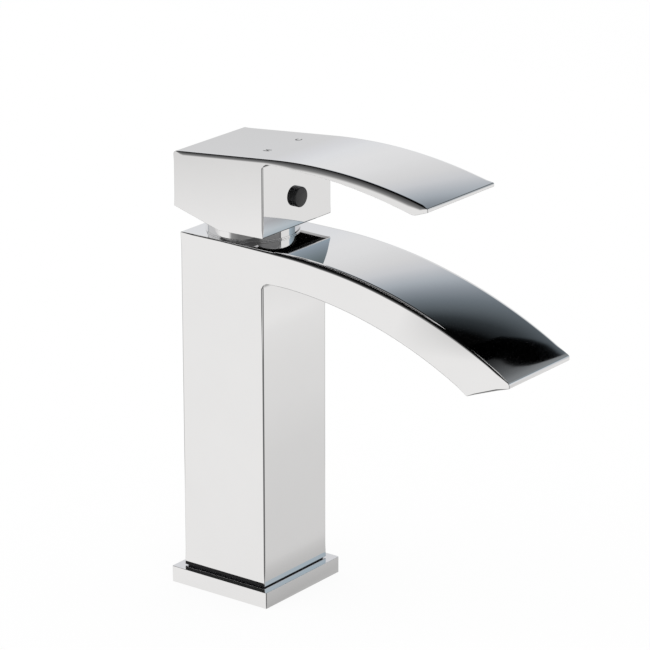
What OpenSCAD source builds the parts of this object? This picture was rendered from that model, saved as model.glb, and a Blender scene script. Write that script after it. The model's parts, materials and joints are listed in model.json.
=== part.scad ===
// Single-lever basin mixer tap with a square column, an arched flat spout and a block handle.
// Millimetres. The origin is on the deck at the centre of the base plate's underside, +Z is up,
// and the spout and the lever point along -Y. Hot water comes in at -X and cold at +X.

/* [Column and base plate] */
// Width and depth of the square column
column_w = 38; // [37:0.5:48]
// Height of the body's flat top above the deck
top_h = 138; // [125:1:200]
// Rounding of the upright edges of column, plate and handle
edge_r = 0.6; // [0.3:0.1:1.5]
// How far the base plate stands out round the column
plate_margin = 3.5; // [1:0.5:12]
// Thickness of the base plate
plate_t = 6.3; // [4.5:0.1:12]
// Thickness of the rubber seal between column and plate
column_seal_t = 0.4; // [0.3:0.1:1.5]
// How far the rubber seal stays inside the column's outline
column_seal_inset = 0.7; // [0.3:0.1:2]
// Diameter of the spigot under the column
spigot_d = 29; // [28:0.5:33]
// Height of the spigot, which centres the base plate
spigot_h = 3.4; // [2:0.1:4]
// Thickness of the rubber gasket let into the underside of the plate
deck_gasket_t = 1.2; // [0.8:0.1:2]
// Rim of the plate left outside the deck gasket
deck_gasket_rim = 2.6; // [2:0.1:5]

/* [Inlets and fixing stud] */
// Tapping diameter of the hose inlets, M10 x 1
inlet_d = 9; // [8:0.1:9.4]
// Depth of the hose inlets' thread
inlet_depth = 11; // [8:0.5:14]
// Distance between the two hose inlets
inlet_spacing = 15; // [14:0.5:16]
// How far the hose inlets lie behind the column's axis
inlet_back = 3; // [2:0.5:3.5]
// Tapping diameter of the fixing stud's hole, M8
stud_d = 6.8; // [5:0.1:7]
// Depth of the fixing stud's hole
stud_depth = 16; // [10:0.5:24]
// How far the stud's hole lies in front of the column's axis
stud_front = 9; // [8.5:0.25:10]

/* [Waterways] */
// Wall of the casting round its waterways in the column
side_wall = 3; // [2.5:0.1:3.4]
// Wall between the hot and the cold waterway
web_t = 3; // [2:0.1:6]
// Diameter of the risers that carry mixed water up beside the chamber
riser_d = 5; // [4:0.1:5.2]
// Height of the gallery that carries mixed water to the risers
gallery_h = 6; // [4:0.5:10]
// Thickness of the floors between chamber, gallery and inlet waterways
floor_t = 3.2; // [2.6:0.1:5]
// Diameter of the two inlet ports under the cartridge
inlet_port_d = 5.2; // [4:0.1:5.4]
// Diameter of the mixed water port under the cartridge
mixed_port_d = 5.2; // [4:0.1:5.4]

/* [Spout] */
// Reach of the spout from the column's axis to its tip
spout_reach = 126.7; // [105:0.5:150]
// Distance from the axis at which the flat top turns into the arch
spout_flat = 26.8; // [22:0.2:34]
// Radius of the arched top
spout_top_r = 190; // [175:1:260]
// Radius of the arched underside
spout_under_r = 171; // [165:1:180]
// Distance from the axis of the highest point of the underside
spout_under_peak = 21.6; // [19.5:0.1:26]
// Thickness of the spout at that point
spout_root_t = 12.7; // [11.5:0.1:15]
// Height of the upright face at the tip
tip_face = 1.7; // [1:0.1:3]
// Slope of the outlet face
outlet_tilt = 19.9; // [15:0.1:26]
// Rounding between the column and the underside of the spout
throat_r = 2.2; // [1:0.1:6]
// Wall of the spout round its waterway
spout_wall = 2.6; // [2:0.1:3.2]

/* [Outlet] */
// Width of the flow straightener
insert_w = 27.6; // [20:0.2:30]
// Length of the flow straightener along the outlet face
insert_l = 9.6; // [8:0.2:10.5]
// Thickness of the flow straightener
insert_t = 4; // [3:0.1:4.4]
// Size of one water channel in the flow straightener
channel_w = 1.9; // [1.4:0.1:2.1]
// Thickness of the screen behind the straightener
screen_t = 0.4; // [0.3:0.1:0.6]
// Thickness of the gasket behind the screen
outlet_seal_t = 0.7; // [0.5:0.1:1]
// Distance along the outlet face from the tip to the straightener
outlet_set_back = 5.6; // [5.2:0.1:6]

/* [Cartridge] */
// Diameter of the cartridge's case
case_d = 25.2; // [25:0.1:26]
// Wall of the cartridge's case
case_wall = 1.35; // [1:0.05:1.4]
// Height of the cartridge's foot
foot_h = 5; // [4.4:0.1:7]
// Thickness of each ceramic disc
disc_t = 3.5; // [2.6:0.1:5]
// Diameter of the moving ceramic disc
moving_disc_d = 18; // [17.6:0.1:18.4]
// Height of the disc carrier
carrier_h = 5.6; // [5:0.1:7]
// Height of the wide part of the turning guide
guide_disc_h = 4.8; // [4:0.1:6]
// Thickness of the case's shoulder, on which the nut presses
shoulder_t = 1.4; // [1:0.1:2.5]
// Diameter of the turning guide's neck
neck_d = 17.4; // [17.2:0.1:17.8]
// Wall of the case round that neck
neck_wall = 1.6; // [1.2:0.1:1.7]
// Diameter of the rubber rings under the foot, across the outside
port_seal_d = 8; // [7.4:0.1:8.6]
// Thickness of those rings
port_seal_t = 1.6; // [1:0.1:2.2]
// Diameter of the locating pegs under the foot
peg_d = 2.8; // [2:0.1:3]
// Height of the locating pegs
peg_h = 1.8; // [1:0.1:2]

/* [Stem] */
// Width of the square stem
stem_w = 7.2; // [6.6:0.1:7.3]
// Diameter of the pin on which the stem tilts
pin_d = 3; // [2:0.1:3.6]
// Height of that pin above the underside of the guide
pin_up = 8.4; // [8:0.1:9]
// Distance from the pin down to the centre of the stem's ball
ball_arm = 9; // [8.8:0.05:9.2]
// Diameter of the ball
ball_d = 5.8; // [5.2:0.1:5.9]
// How far the stem reaches up into the handle's socket
socket_depth = 10; // [7:0.5:12]

/* [Nut and collar] */
// Tapping diameter of the nut's thread in the body, M28 x 1
nut_thread_d = 27; // [26.8:0.1:28]
// Depth of the nut's thread below the body's top
nut_thread_h = 10; // [8:0.5:14]
// Diameter of the nut's flange
nut_flange_d = 28.4; // [28:0.1:28.8]
// Height of the nut's flange
nut_flange_h = 2.7; // [2.5:0.05:2.8]
// Diameter of the collar's visible ring
collar_d = 34; // [33:0.1:34.6]
// Diameter of the collar's thin foot
collar_foot_d = 34.8; // [34.4:0.1:36]
// Height of the collar
collar_h = 4.4; // [4.2:0.05:4.8]
// Wall of the collar
collar_wall = 1; // [0.8:0.05:1.1]
// Section of the rubber ring inside the collar
collar_ring_t = 1.6; // [1.2:0.1:1.6]

/* [Handle] */
// Width of the handle's block and lever
handle_w = 40.7; // [39.6:0.1:46]
// Gap between the body's top and the handle's underside
handle_gap = 4.2; // [3.9:0.1:8]
// Height of the handle's block at the tap's axis
block_h = 28.4; // [26:0.2:40]
// Distance from the axis to the block's front face
block_front = 20.4; // [20:0.1:22]
// Distance from the axis to the block's back face
block_back = 20.7; // [20.6:0.1:26]
// Slope of the top, which rises towards the front
top_slope = 5.14; // [2:0.1:8]
// Slope of the underside's back half, which makes room for lifting
under_slope = 15.6; // [12:0.2:22]
// Slope of the underside's front half
under_front_slope = 1.2; // [0:0.1:4]
// Rounding of the block's top back edge
back_round = 1.6; // [0.6:0.1:4]
// Distance from the axis at which the sloping top turns into the lever's arch
lever_bend = 23.1; // [20:0.1:26]
// Reach of the lever from the axis
lever_reach = 92.6; // [75:0.5:110]
// Radius of the lever's arched top
lever_top_r = 201.4; // [180:1:240]
// Radius of the lever's arched underside
lever_under_r = 225.3; // [215:0.1:235]
// Distance from the axis of the highest point of the lever's underside
lever_under_peak = 28.7; // [25:0.1:32]
// Thickness of the lever at that point
lever_root_t = 2.3; // [2:0.1:4.5]
// Height of the upright face at the lever's tip
lever_tip_face = 1.3; // [0.8:0.1:2.5]
// Slope of the cut under the lever's tip
lever_tip_tilt = 19.5; // [12:0.5:30]
// Rounding between block and lever
lever_throat_r = 2.2; // [1:0.1:4]
// Side walls of the hollow block
handle_wall = 2.35; // [1.8:0.05:2.4]
// Front and back walls of the hollow block
handle_end_wall = 2.6; // [1.8:0.1:2.8]
// Roof of the hollow block, measured at its thinnest
handle_roof = 4.2; // [3:0.1:7]
// Diameter of the boss round the stem
boss_d = 15; // [12:0.5:16]
// Height of the boss's underside above the handle's underside
boss_up = 6.8; // [6.2:0.1:9]

/* [Grub screw and cap] */
// Diameter of the grub screw, M5
grub_d = 5; // [4:0.1:6]
// Length of the grub screw
grub_l = 8; // [6:0.5:9]
// Width of its hexagon socket across the flats
grub_key = 2.5; // [2:0.1:3]
// Height of the grub screw above the handle's underside
grub_up = 11.7; // [11:0.1:13]
// Diameter of the cap's head
cap_head_d = 7.6; // [7:0.1:9]
// How far the cap's head stands out
cap_head_h = 2.2; // [0.8:0.1:3]
// Diameter of the cap's shank
cap_shank_d = 6.4; // [6:0.1:6.9]
// Length of the cap's shank
cap_shank_l = 6; // [4:0.5:8]

/* [Hidden] */
$fn = 96;
arch_fn = 720;

// Clearances
fit = 0.05;       // between pieces that are pressed or screwed together
run_gap = 0.2;    // above and below pieces that slide or turn
loose = 0.2;      // round pieces that are dropped in
pin_play = 0.04;  // between the pin and the stem, on the radius
far = 300;        // longer than the tap, for cutting tools

// Heights in the column, from the deck up
column_bottom = plate_t + column_seal_t;
spigot_bottom = column_bottom - spigot_h;
half = column_w / 2;

// Heights in the cartridge, counted down from the body's top
shoulder_top = top_h - nut_thread_h;
guide_disc_top = shoulder_top - shoulder_t - run_gap;
guide_bottom = guide_disc_top - guide_disc_h;
carrier_top = guide_bottom - run_gap;
moving_disc_top = carrier_top - carrier_h;
fixed_disc_top = moving_disc_top - disc_t;
foot_top = fixed_disc_top - disc_t;
chamber_floor = foot_top - foot_h;
pin_z = guide_bottom + pin_up;
ball_z = pin_z - ball_arm;

// Radii in the cartridge
case_r = case_d / 2;
chamber_r = case_r + loose;
inside_r = case_r - case_wall;
foot_step_h = foot_h * 0.4;  // the foot's wide lower part, on which the case stands
disc_seal_d = port_seal_d - 0.4;
disc_seal_t = port_seal_t * 0.75;
neck_r = neck_d / 2;
neck_outer_r = neck_r + fit + neck_wall;
neck_below = 1.5;  // the case's neck ends this far below the body's top
guide_above = 1;   // and the guide's neck stands this far out of it
neck_top = top_h - neck_below;
guide_top = neck_top + guide_above;
guide_ring_t = 1.2;
guide_ring_z = guide_top - 2.5 * guide_ring_t;

// The moving disc rests behind the axis and slides as far in front of it
lift_max = 22;
disc_travel = ball_arm * sin(lift_max);
disc_back = disc_travel / 2;

// Ports of the cartridge: the inlets in front of the axis and the mixed port behind it
inlet_port_x = 4.6;
inlet_port_y = -4.4;
mixed_port_y = 4.6;
ports = [
    [-inlet_port_x, inlet_port_y, inlet_port_d],
    [inlet_port_x, inlet_port_y, inlet_port_d],
    [0, mixed_port_y, mixed_port_d],
];
pegs = [[-8, 6], [8, 6]];

// Heights of the waterways in the column
gallery_top = chamber_floor - floor_t;
gallery_bottom = gallery_top - gallery_h;
inlet_way_top = gallery_bottom - floor_t;
inlet_way_bottom = spigot_bottom + stud_depth + floor_t;
inlet_neck_d = inlet_d - 2;
riser_at = half - side_wall - riser_d / 2;
thread_r = nut_thread_d / 2;

// Spout outline: heights over distance in front of the axis
spout_top_c = top_h - spout_top_r;
spout_under_c = top_h - spout_root_t - spout_under_r;
tip_top = spout_top_c + sqrt(pow(spout_top_r, 2) - pow(spout_reach - spout_flat, 2));
outlet_start = [spout_reach, tip_top - tip_face];
pocket_l = insert_l + 2 * loose;
pocket_w = insert_w + 2 * loose;
pocket_depth = insert_t + screen_t + outlet_seal_t;
seat = 1.4;  // ledge round the waterway's mouth, on which the gasket lies
way_start = thread_r + 2;  // the spout's waterway starts in front of the nut's thread
way_half = half - spout_wall;

// Handle outline: heights over distance in front of the axis
handle_bottom = top_h + handle_gap;
axis_top = handle_bottom + block_h;
bend_top = axis_top + lever_bend * tan(top_slope);
lever_top_at = lever_bend + lever_top_r * sin(top_slope);
lever_top_c = bend_top - lever_top_r * cos(top_slope);
lever_over_peak = lever_top_c + sqrt(pow(lever_top_r, 2) - pow(lever_under_peak - lever_top_at, 2));
lever_under_c = lever_over_peak - lever_root_t - lever_under_r;
lever_tip_top = lever_top_c + sqrt(pow(lever_top_r, 2) - pow(lever_reach - lever_top_at, 2));
lever_cut_start = [lever_reach, lever_tip_top - lever_tip_face];
back_top = axis_top - block_back * tan(top_slope);
cavity_top = back_top - handle_roof;
boss_bottom = handle_bottom + boss_up;
grub_z = handle_bottom + grub_up;
stem_top = boss_bottom + socket_depth;
stem_half = stem_w / 2;

// Nut and collar
nut_above = 0.5;  // gap between the body's top and the nut's flange, so that the nut can be tightened
nut_flange_bottom = top_h + nut_above;
collar_side_wall = 2.1 * collar_wall;
collar_in_r = collar_d / 2 - collar_side_wall;
collar_ring_z = nut_flange_bottom + nut_flange_h / 2;
collar_ring_in = collar_in_r - fit - collar_ring_t;

// Puts an outline drawn as distance in front of the axis and height into the tap, as wide as said
module across(width) {
    rotate([90, 0, -90]) linear_extrude(height = width, center = true) children();
}

// Square plan with rounded corners
module rounded_square(size, r) {
    for (a = [0, 90]) rotate(a) square([size, size - 2 * r], center = true);
    for (x = [-1, 1], y = [-1, 1]) translate([x, y] * (size / 2 - r)) circle(r);
}

// Rounded rectangle from one corner to the other
module rounded_rect(low, high, r) {
    size = high - low;
    translate([low[0] + r, low[1]]) square([size[0] - 2 * r, size[1]]);
    translate([low[0], low[1] + r]) square([size[0], size[1] - 2 * r]);
    for (x = [low[0] + r, high[0] - r], y = [low[1] + r, high[1] - r]) translate([x, y]) circle(r);
}

module big_circle(distance, height, r) {
    translate([distance, height]) circle(r, $fn = arch_fn);
}

// Everything under a line that runs back and down from a point at a tilt
module below_cut(start, tilt) {
    translate(start) rotate(180 + tilt) translate([-20, 0]) square([far, far]);
}

// Fills the corner between an upright face and an arched underside with a round of radius r
module throat(face, arch_at, arch_c, arch_r, r) {
    centre = [face + r, arch_c + sqrt(pow(arch_r - r, 2) - pow(face + r - arch_at, 2))];
    tangent = [arch_at, arch_c] + (centre - [arch_at, arch_c]) * arch_r / (arch_r - r);
    difference() {
        polygon([
            [face - 1, centre[1]], [centre[0], centre[1]], tangent,
            [centre[0] - r / 2, tangent[1] + 1], [face - 1, tangent[1] + 1],
        ]);
        translate(centre) circle(r);
    }
}

// Pieces at the outlet are drawn with the outlet face in the XY plane and the spout's inside above it
module at_outlet() {
    translate([0, -outlet_start[0], outlet_start[1]])
        rotate([-outlet_tilt, 0, 0])
            translate([0, outlet_set_back + pocket_l / 2, 0])
                children();
}

module at_ports() {
    for (p = ports) translate([p[0], p[1], 0]) children();
}

module spout_outline() {
    difference() {
        union() {
            translate([0, top_h - 2 * spout_root_t]) square([spout_flat, 2 * spout_root_t]);
            intersection() {
                big_circle(spout_flat, spout_top_c, spout_top_r);
                translate([spout_flat, 0]) square([spout_reach - spout_flat, top_h]);
            }
        }
        big_circle(spout_under_peak, spout_under_c, spout_under_r);
        below_cut(outlet_start, outlet_tilt);
    }
    throat(half, spout_under_peak, spout_under_c, spout_under_r, throat_r);
}

module spout_way_outline() {
    roof_r = spout_top_r - spout_wall;
    into_face = [-sin(outlet_tilt), cos(outlet_tilt)];
    difference() {
        union() {
            translate([way_start, top_h - 2 * spout_root_t])
                square([spout_flat - way_start, 2 * spout_root_t - spout_wall]);
            intersection() {
                big_circle(spout_flat, spout_top_c, roof_r);
                translate([spout_flat, 0]) square([spout_reach - spout_flat - 3 * spout_wall, top_h]);
            }
        }
        big_circle(spout_under_peak, spout_under_c, spout_under_r + spout_wall);
        below_cut(outlet_start + (pocket_depth + seat) * into_face, outlet_tilt);
    }
}

// Casting: column, spout and their waterways
module body_casting() {
    way_floor = spout_under_c + spout_under_r + spout_wall;
    color("gainsboro") difference() {
        union() {
            translate([0, 0, column_bottom])
                linear_extrude(top_h - column_bottom) rounded_square(column_w, edge_r);
            across(column_w) spout_outline();
            translate([0, 0, spigot_bottom]) cylinder(d = spigot_d, h = spigot_h + 1);
        }
        // Cartridge chamber and the nut's thread
        translate([0, 0, chamber_floor]) cylinder(r = chamber_r, h = far);
        translate([0, 0, shoulder_top - 2]) cylinder(r = thread_r, h = far);
        for (p = pegs) translate([p[0], p[1], chamber_floor - peg_h - run_gap])
            cylinder(d = peg_d + 2 * fit, h = far);
        // Ports from the waterways up to the cartridge
        for (p = ports) {
            low = p[1] > 0 ? gallery_bottom + 1 : inlet_way_top - 1;
            translate([p[0], p[1], low]) cylinder(d = p[2], h = chamber_floor - low + 1);
        }
        // Hot and cold waterways, their inlets and the stud's hole
        for (side = [-1, 1]) {
            way_w = half - side_wall - web_t / 2;
            translate([side * (web_t + way_w) / 2, 0, (inlet_way_bottom + inlet_way_top) / 2])
                cube([way_w, column_w - 2 * side_wall, inlet_way_top - inlet_way_bottom], center = true);
            translate([side * inlet_spacing / 2, inlet_back, spigot_bottom - 1]) {
                cylinder(d = inlet_d, h = inlet_depth + 1);
                cylinder(d = inlet_neck_d, h = inlet_way_bottom - spigot_bottom + 2);
            }
        }
        translate([0, -stud_front, spigot_bottom - 1]) cylinder(d = stud_d, h = stud_depth + 1);
        // Gallery round the inlet ports, and the risers at the front corners
        port_rim = 0.8;
        gallery_back = mixed_port_y + mixed_port_d / 2 + port_rim;
        gallery_front = mixed_port_y - mixed_port_d / 2 - port_rim;
        translate([-riser_at - riser_d / 2, gallery_front, gallery_bottom])
            cube([2 * riser_at + riser_d, gallery_back - gallery_front, gallery_h]);
        for (side = [-1, 1]) {
            translate([side * riser_at - riser_d / 2, -riser_at, gallery_bottom])
                cube([riser_d, riser_at + gallery_back, gallery_h]);
            translate([side * riser_at, -riser_at, gallery_bottom])
                cylinder(d = riser_d, h = way_floor + riser_d / 2 - gallery_bottom);
            translate([side * riser_at - riser_d / 2, -way_start - 1, way_floor])
                cube([riser_d, way_start + 1 - riser_at, top_h - spout_wall - way_floor]);
        }
        // Waterway of the spout, its mouth and the pocket of the outlet
        across(2 * way_half) spout_way_outline();
        at_outlet() {
            mouth = [pocket_w - 2 * seat, pocket_l - 2 * seat, 2 * seat];
            translate([0, 0, pocket_depth / 2 - 1])
                cube([pocket_w, pocket_l, pocket_depth + 2], center = true);
            translate([0, 0, pocket_depth + seat / 2]) cube(mouth, center = true);
        }
    }
}

module base_plate() {
    size = column_w + 2 * plate_margin;
    color("gainsboro") difference() {
        linear_extrude(plate_t) rounded_square(size, edge_r);
        translate([0, 0, -1]) cylinder(d = spigot_d + 2 * loose, h = far);
        translate([0, 0, -1])
            linear_extrude(deck_gasket_t + 1) rounded_square(size - 2 * deck_gasket_rim, edge_r);
    }
}

module column_seal() {
    color("dimgray") translate([0, 0, plate_t]) linear_extrude(column_seal_t) difference() {
        rounded_square(column_w - 2 * column_seal_inset, edge_r);
        circle(d = spigot_d + 2 * loose);
    }
}

module deck_gasket() {
    size = column_w + 2 * (plate_margin - deck_gasket_rim - loose);
    color("dimgray") linear_extrude(deck_gasket_t) difference() {
        rounded_square(size, edge_r);
        circle(d = spigot_d + 2);
    }
}

// Foot of the cartridge, with ports, seal pockets on both sides and locating pegs
module cartridge_base() {
    color("whitesmoke") difference() {
        union() {
            translate([0, 0, chamber_floor]) cylinder(r = case_r, h = foot_step_h);
            translate([0, 0, chamber_floor]) cylinder(r = inside_r - 2 * fit, h = foot_h);
            for (p = pegs) translate([p[0], p[1], chamber_floor - peg_h])
                cylinder(d = peg_d, h = peg_h + 1);
        }
        for (p = ports) translate([p[0], p[1], chamber_floor - 1]) cylinder(d = p[2], h = foot_h + 2);
        at_ports() {
            translate([0, 0, chamber_floor - 1]) cylinder(d = port_seal_d, h = port_seal_t + 1);
            translate([0, 0, foot_top - disc_seal_t]) cylinder(d = disc_seal_d, h = disc_seal_t + 1);
        }
    }
}

// One rubber ring at each port
module ring_set(outside, bottom, height) {
    for (p = ports) translate([p[0], p[1], bottom]) difference() {
        cylinder(d = outside - 2 * fit, h = height);
        translate([0, 0, -1]) cylinder(d = p[2], h = height + 2);
    }
}

module port_seals() {
    color("darkslategray") ring_set(port_seal_d, chamber_floor, port_seal_t);
}

module disc_seals() {
    color("darkslategray") ring_set(disc_seal_d, foot_top - disc_seal_t, disc_seal_t);
}

module fixed_disc() {
    color("linen") difference() {
        translate([0, 0, foot_top]) cylinder(r = inside_r - loose, h = disc_t);
        for (p = ports) translate([p[0], p[1], foot_top - 1]) cylinder(d = p[2], h = disc_t + 2);
    }
}

// The pocket joins the mixed port to the inlets once the disc has slid forward
module moving_disc() {
    pocket_r = 5.8;
    pocket_back = 2;
    pocket_h = disc_t * 0.55;
    color("linen") translate([0, disc_back, fixed_disc_top]) difference() {
        cylinder(d = moving_disc_d, h = disc_t);
        translate([0, pocket_back, -1]) cylinder(r = pocket_r, h = pocket_h + 1);
    }
}

module disc_carrier() {
    rim = 0.15;
    slot = ball_d + 0.3;
    flat_w = 15.2;
    color("orange") difference() {
        intersection() {
            translate([0, disc_back, moving_disc_top]) cylinder(r = moving_disc_d / 2 + rim, h = carrier_h);
            translate([0, disc_back, moving_disc_top]) cube([flat_w, far, far], center = true);
        }
        translate([-slot / 2, -slot / 2, ball_z - ball_d / 2 - run_gap]) cube([slot, slot, far]);
    }
}

module cartridge_housing() {
    skirt_bottom = chamber_floor + foot_step_h;
    color("ivory") difference() {
        union() {
            translate([0, 0, skirt_bottom]) cylinder(r = case_r, h = shoulder_top - skirt_bottom);
            translate([0, 0, skirt_bottom]) cylinder(r = neck_outer_r, h = neck_top - skirt_bottom);
        }
        translate([0, 0, skirt_bottom - 1])
            cylinder(r = inside_r, h = shoulder_top - shoulder_t - skirt_bottom + 1);
        cylinder(r = neck_r + fit, h = far);
    }
}

// Guide that turns in the case: a wide foot with two lugs that turn the carrier, and a slotted neck
module turning_guide() {
    foot_r = inside_r - 3 * fit;
    slot_w = stem_w + 0.3;
    lug_from = 7.8;  // the lugs stand beside the carrier's flats
    lug_w = 8;
    upper = [0.9, 3.5];  // room in front of the stem and behind it above the pin
    lower = [6.8, 4.6];  // room in front of the axis and behind it below the pin
    color("royalblue") difference() {
        union() {
            translate([0, 0, guide_bottom]) cylinder(r = foot_r, h = guide_disc_h);
            translate([0, 0, guide_bottom]) cylinder(r = neck_r, h = guide_top - guide_bottom);
            intersection() {
                translate([0, 0, moving_disc_top + run_gap]) cylinder(r = foot_r, h = carrier_h);
                for (side = [-1, 1]) translate([side * (lug_from + foot_r / 2), 0, moving_disc_top])
                    cube([foot_r, lug_w, far], center = true);
            }
        }
        // Room for the stem, wider towards the back above the pin and towards the front below it
        translate([-slot_w / 2, -stem_half - upper[0], pin_z - 1])
            cube([slot_w, stem_w + upper[0] + upper[1], far]);
        translate([-slot_w / 2, -lower[0], guide_bottom - 1])
            cube([slot_w, lower[0] + lower[1], pin_z - guide_bottom + 2]);
        // Pin and rubber ring
        translate([0, 0, pin_z]) rotate([0, 90, 0]) cylinder(d = pin_d + 2 * fit, h = far, center = true);
        translate([0, 0, guide_ring_z - guide_ring_t / 2])
            difference() {
                cylinder(r = neck_r + 1, h = guide_ring_t);
                cylinder(r = neck_r - guide_ring_t, h = guide_ring_t);
            }
    }
}

module guide_oring() {
    r = guide_ring_t / 2 - fit;
    color("black") translate([0, 0, guide_ring_z])
        rotate_extrude() translate([neck_r - r, 0]) circle(r, $fn = 32);
}

module stem_pin() {
    pin_l = neck_d - 1;
    color("silver") translate([0, 0, pin_z])
        rotate([0, 90, 0]) cylinder(d = pin_d, h = pin_l, center = true);
}

// Stem: square shank above, an eye on the pin, and an arm with a ball below
module lever_stem() {
    eye_rim = 0.6;
    arm_w = stem_w * 0.66;
    color("darkkhaki") difference() {
        union() {
            translate([-stem_half, -stem_half, pin_z]) cube([stem_w, stem_w, stem_top - pin_z]);
            translate([0, 0, pin_z]) rotate([0, 90, 0]) cylinder(r = stem_half + eye_rim, h = stem_w, center = true);
            translate([-arm_w / 2, -arm_w / 2, ball_z]) cube([arm_w, arm_w, ball_arm]);
            translate([0, 0, ball_z]) sphere(d = ball_d, $fn = 48);
        }
        translate([0, 0, pin_z]) rotate([0, 90, 0])
            cylinder(d = pin_d + 2 * pin_play, h = far, center = true);
    }
}

module retaining_nut() {
    bore_r = neck_outer_r + 2 * fit;
    spanner_slot = [4, 0.8];  // width and depth
    flange_r = nut_flange_d / 2;
    groove_r = collar_ring_in - fit;
    color("goldenrod") difference() {
        union() {
            translate([0, 0, shoulder_top])
                cylinder(r = thread_r - fit, h = nut_flange_bottom - shoulder_top + 1);
            translate([0, 0, nut_flange_bottom]) cylinder(r = flange_r, h = nut_flange_h);
        }
        translate([0, 0, shoulder_top - 1]) cylinder(r = bore_r, h = far);
        translate([0, 0, collar_ring_z - collar_ring_t / 2]) difference() {
            cylinder(r = flange_r + 1, h = collar_ring_t);
            cylinder(r = groove_r, h = collar_ring_t);
        }
        // Two slots for the spanner
        translate([0, 0, nut_flange_bottom + nut_flange_h])
            cube([far, spanner_slot[0], 2 * spanner_slot[1]], center = true);
    }
}

module collar_oring() {
    r = collar_ring_t / 2;
    color("black") translate([0, 0, collar_ring_z])
        rotate_extrude() translate([collar_ring_in + r, 0]) circle(r - fit, $fn = 32);
}

module cover_collar() {
    hole_r = neck_outer_r + 0.65;
    rim_r = 0.8;
    lip_h = 0.6;
    color("gainsboro") difference() {
        translate([0, 0, top_h]) rotate_extrude() {
            square([collar_foot_d / 2, lip_h]);
            square([collar_d / 2, collar_h - rim_r]);
            square([collar_d / 2 - rim_r, collar_h]);
            translate([collar_d / 2 - rim_r, collar_h - rim_r]) circle(rim_r);
        }
        translate([0, 0, top_h - 1]) cylinder(r = collar_in_r, h = collar_h - collar_wall + 1);
        translate([0, 0, top_h]) cylinder(r = hole_r, h = far);
    }
}

module handle_outline() {
    round_at = [back_round - block_back, back_top + back_round * (tan(top_slope) - 1 / cos(top_slope))];
    difference() {
        union() {
            polygon([
                [-block_back, handle_bottom + block_back * tan(under_slope)], [0, handle_bottom],
                [block_front, handle_bottom + block_front * tan(under_front_slope)],
                [block_front, bend_top - lever_root_t],
                [lever_bend, bend_top - lever_root_t], [lever_bend, bend_top], [-block_back, back_top],
            ]);
            intersection() {
                big_circle(lever_top_at, lever_top_c, lever_top_r);
                translate([lever_bend, handle_bottom]) square([lever_reach - lever_bend, far]);
            }
        }
        intersection() {
            big_circle(lever_under_peak, lever_under_c, lever_under_r);
            translate([block_front, handle_bottom - 1]) square([far, far]);
        }
        below_cut(lever_cut_start, lever_tip_tilt);
        difference() {
            translate([-block_back - 1, round_at[1]])
                square([back_round + 1 - back_round * sin(top_slope), 2 * back_round]);
            translate(round_at) circle(back_round);
        }
    }
    throat(block_front, lever_under_peak, lever_under_c, lever_under_r, lever_throat_r);
}

// Block and lever, hollow below, with the boss and the screw's web inside
module handle() {
    inner = handle_w / 2 - handle_wall;
    socket_w = stem_w + 4 * fit;
    socket_end_gap = 0.5;
    cap_end_gap = 0.3;
    front = block_front - handle_end_wall;
    back = block_back - handle_end_wall;
    color("gainsboro") difference() {
        intersection() {
            across(handle_w) handle_outline();
            linear_extrude(far)
                rounded_rect([-handle_w / 2, -lever_reach], [handle_w / 2, block_back], edge_r);
        }
        difference() {
            translate([-inner, -front, handle_bottom - 1])
                cube([2 * inner, front + back, cavity_top - handle_bottom + 1]);
            translate([0, 0, boss_bottom]) cylinder(d = boss_d, h = far);
            translate([-grub_d, -front - 1, boss_bottom]) cube([2 * grub_d, front + 1, far]);
        }
        // Socket of the stem
        translate([-socket_w / 2, -socket_w / 2, boss_bottom - 1])
            cube([socket_w, socket_w, socket_depth + 1 + socket_end_gap]);
        // Thread of the grub screw and seat of the cap
        translate([0, 0, grub_z]) rotate([90, 0, 0]) {
            cylinder(d = grub_d + 2 * fit, h = block_front);
            translate([0, 0, block_front - cap_shank_l - cap_end_gap])
                cylinder(d = cap_shank_d + 2 * fit, h = far / 10);
        }
    }
}

module grub_screw() {
    key_depth = 3;
    color("darkgray") translate([0, -stem_half, grub_z]) rotate([90, 0, 0]) difference() {
        cylinder(d = grub_d, h = grub_l);
        translate([0, 0, grub_l - key_depth])
            cylinder(d = grub_key / cos(30), h = key_depth + 1, $fn = 6);
    }
}

module screw_cap() {
    color("black") translate([0, -block_front, grub_z]) rotate([90, 0, 0]) {
        cylinder(d = cap_head_d, h = cap_head_h);
        translate([0, 0, -cap_shank_l]) cylinder(d = cap_shank_d, h = cap_shank_l + cap_head_h / 2);
    }
}

// Flow straightener with rows of square channels
module outlet_insert() {
    rib = 0.6;
    rim = 0.8;
    pitch = channel_w + rib;
    across_n = floor((insert_w - 2 * rim) / pitch);
    along_n = floor((insert_l - 2 * rim) / pitch);
    color("darkgray") at_outlet() difference() {
        translate([0, 0, insert_t / 2]) cube([insert_w, insert_l, insert_t], center = true);
        for (i = [0 : across_n - 1], j = [0 : along_n - 1])
            translate([(i - (across_n - 1) / 2) * pitch, (j - (along_n - 1) / 2) * pitch, insert_t / 2])
                cube([channel_w, channel_w, insert_t + 2], center = true);
    }
}

module outlet_screen() {
    hole_pitch = 2.6;
    color("silver") at_outlet() difference() {
        translate([0, 0, insert_t + screen_t / 2]) cube([insert_w, insert_l, screen_t], center = true);
        for (i = [-4 : 4], j = [-1 : 1])
            translate([i * hole_pitch, j * hole_pitch, insert_t - 1])
                cylinder(d = hole_pitch * 0.7, h = screen_t + 2, $fn = 24);
    }
}

module outlet_seal() {
    opening = [pocket_w - 2 * seat, pocket_l - 2 * seat, far];
    color("dimgray") at_outlet() difference() {
        translate([0, 0, insert_t + screen_t + outlet_seal_t / 2])
            cube([insert_w, insert_l, outlet_seal_t], center = true);
        cube(opening, center = true);
    }
}

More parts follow.
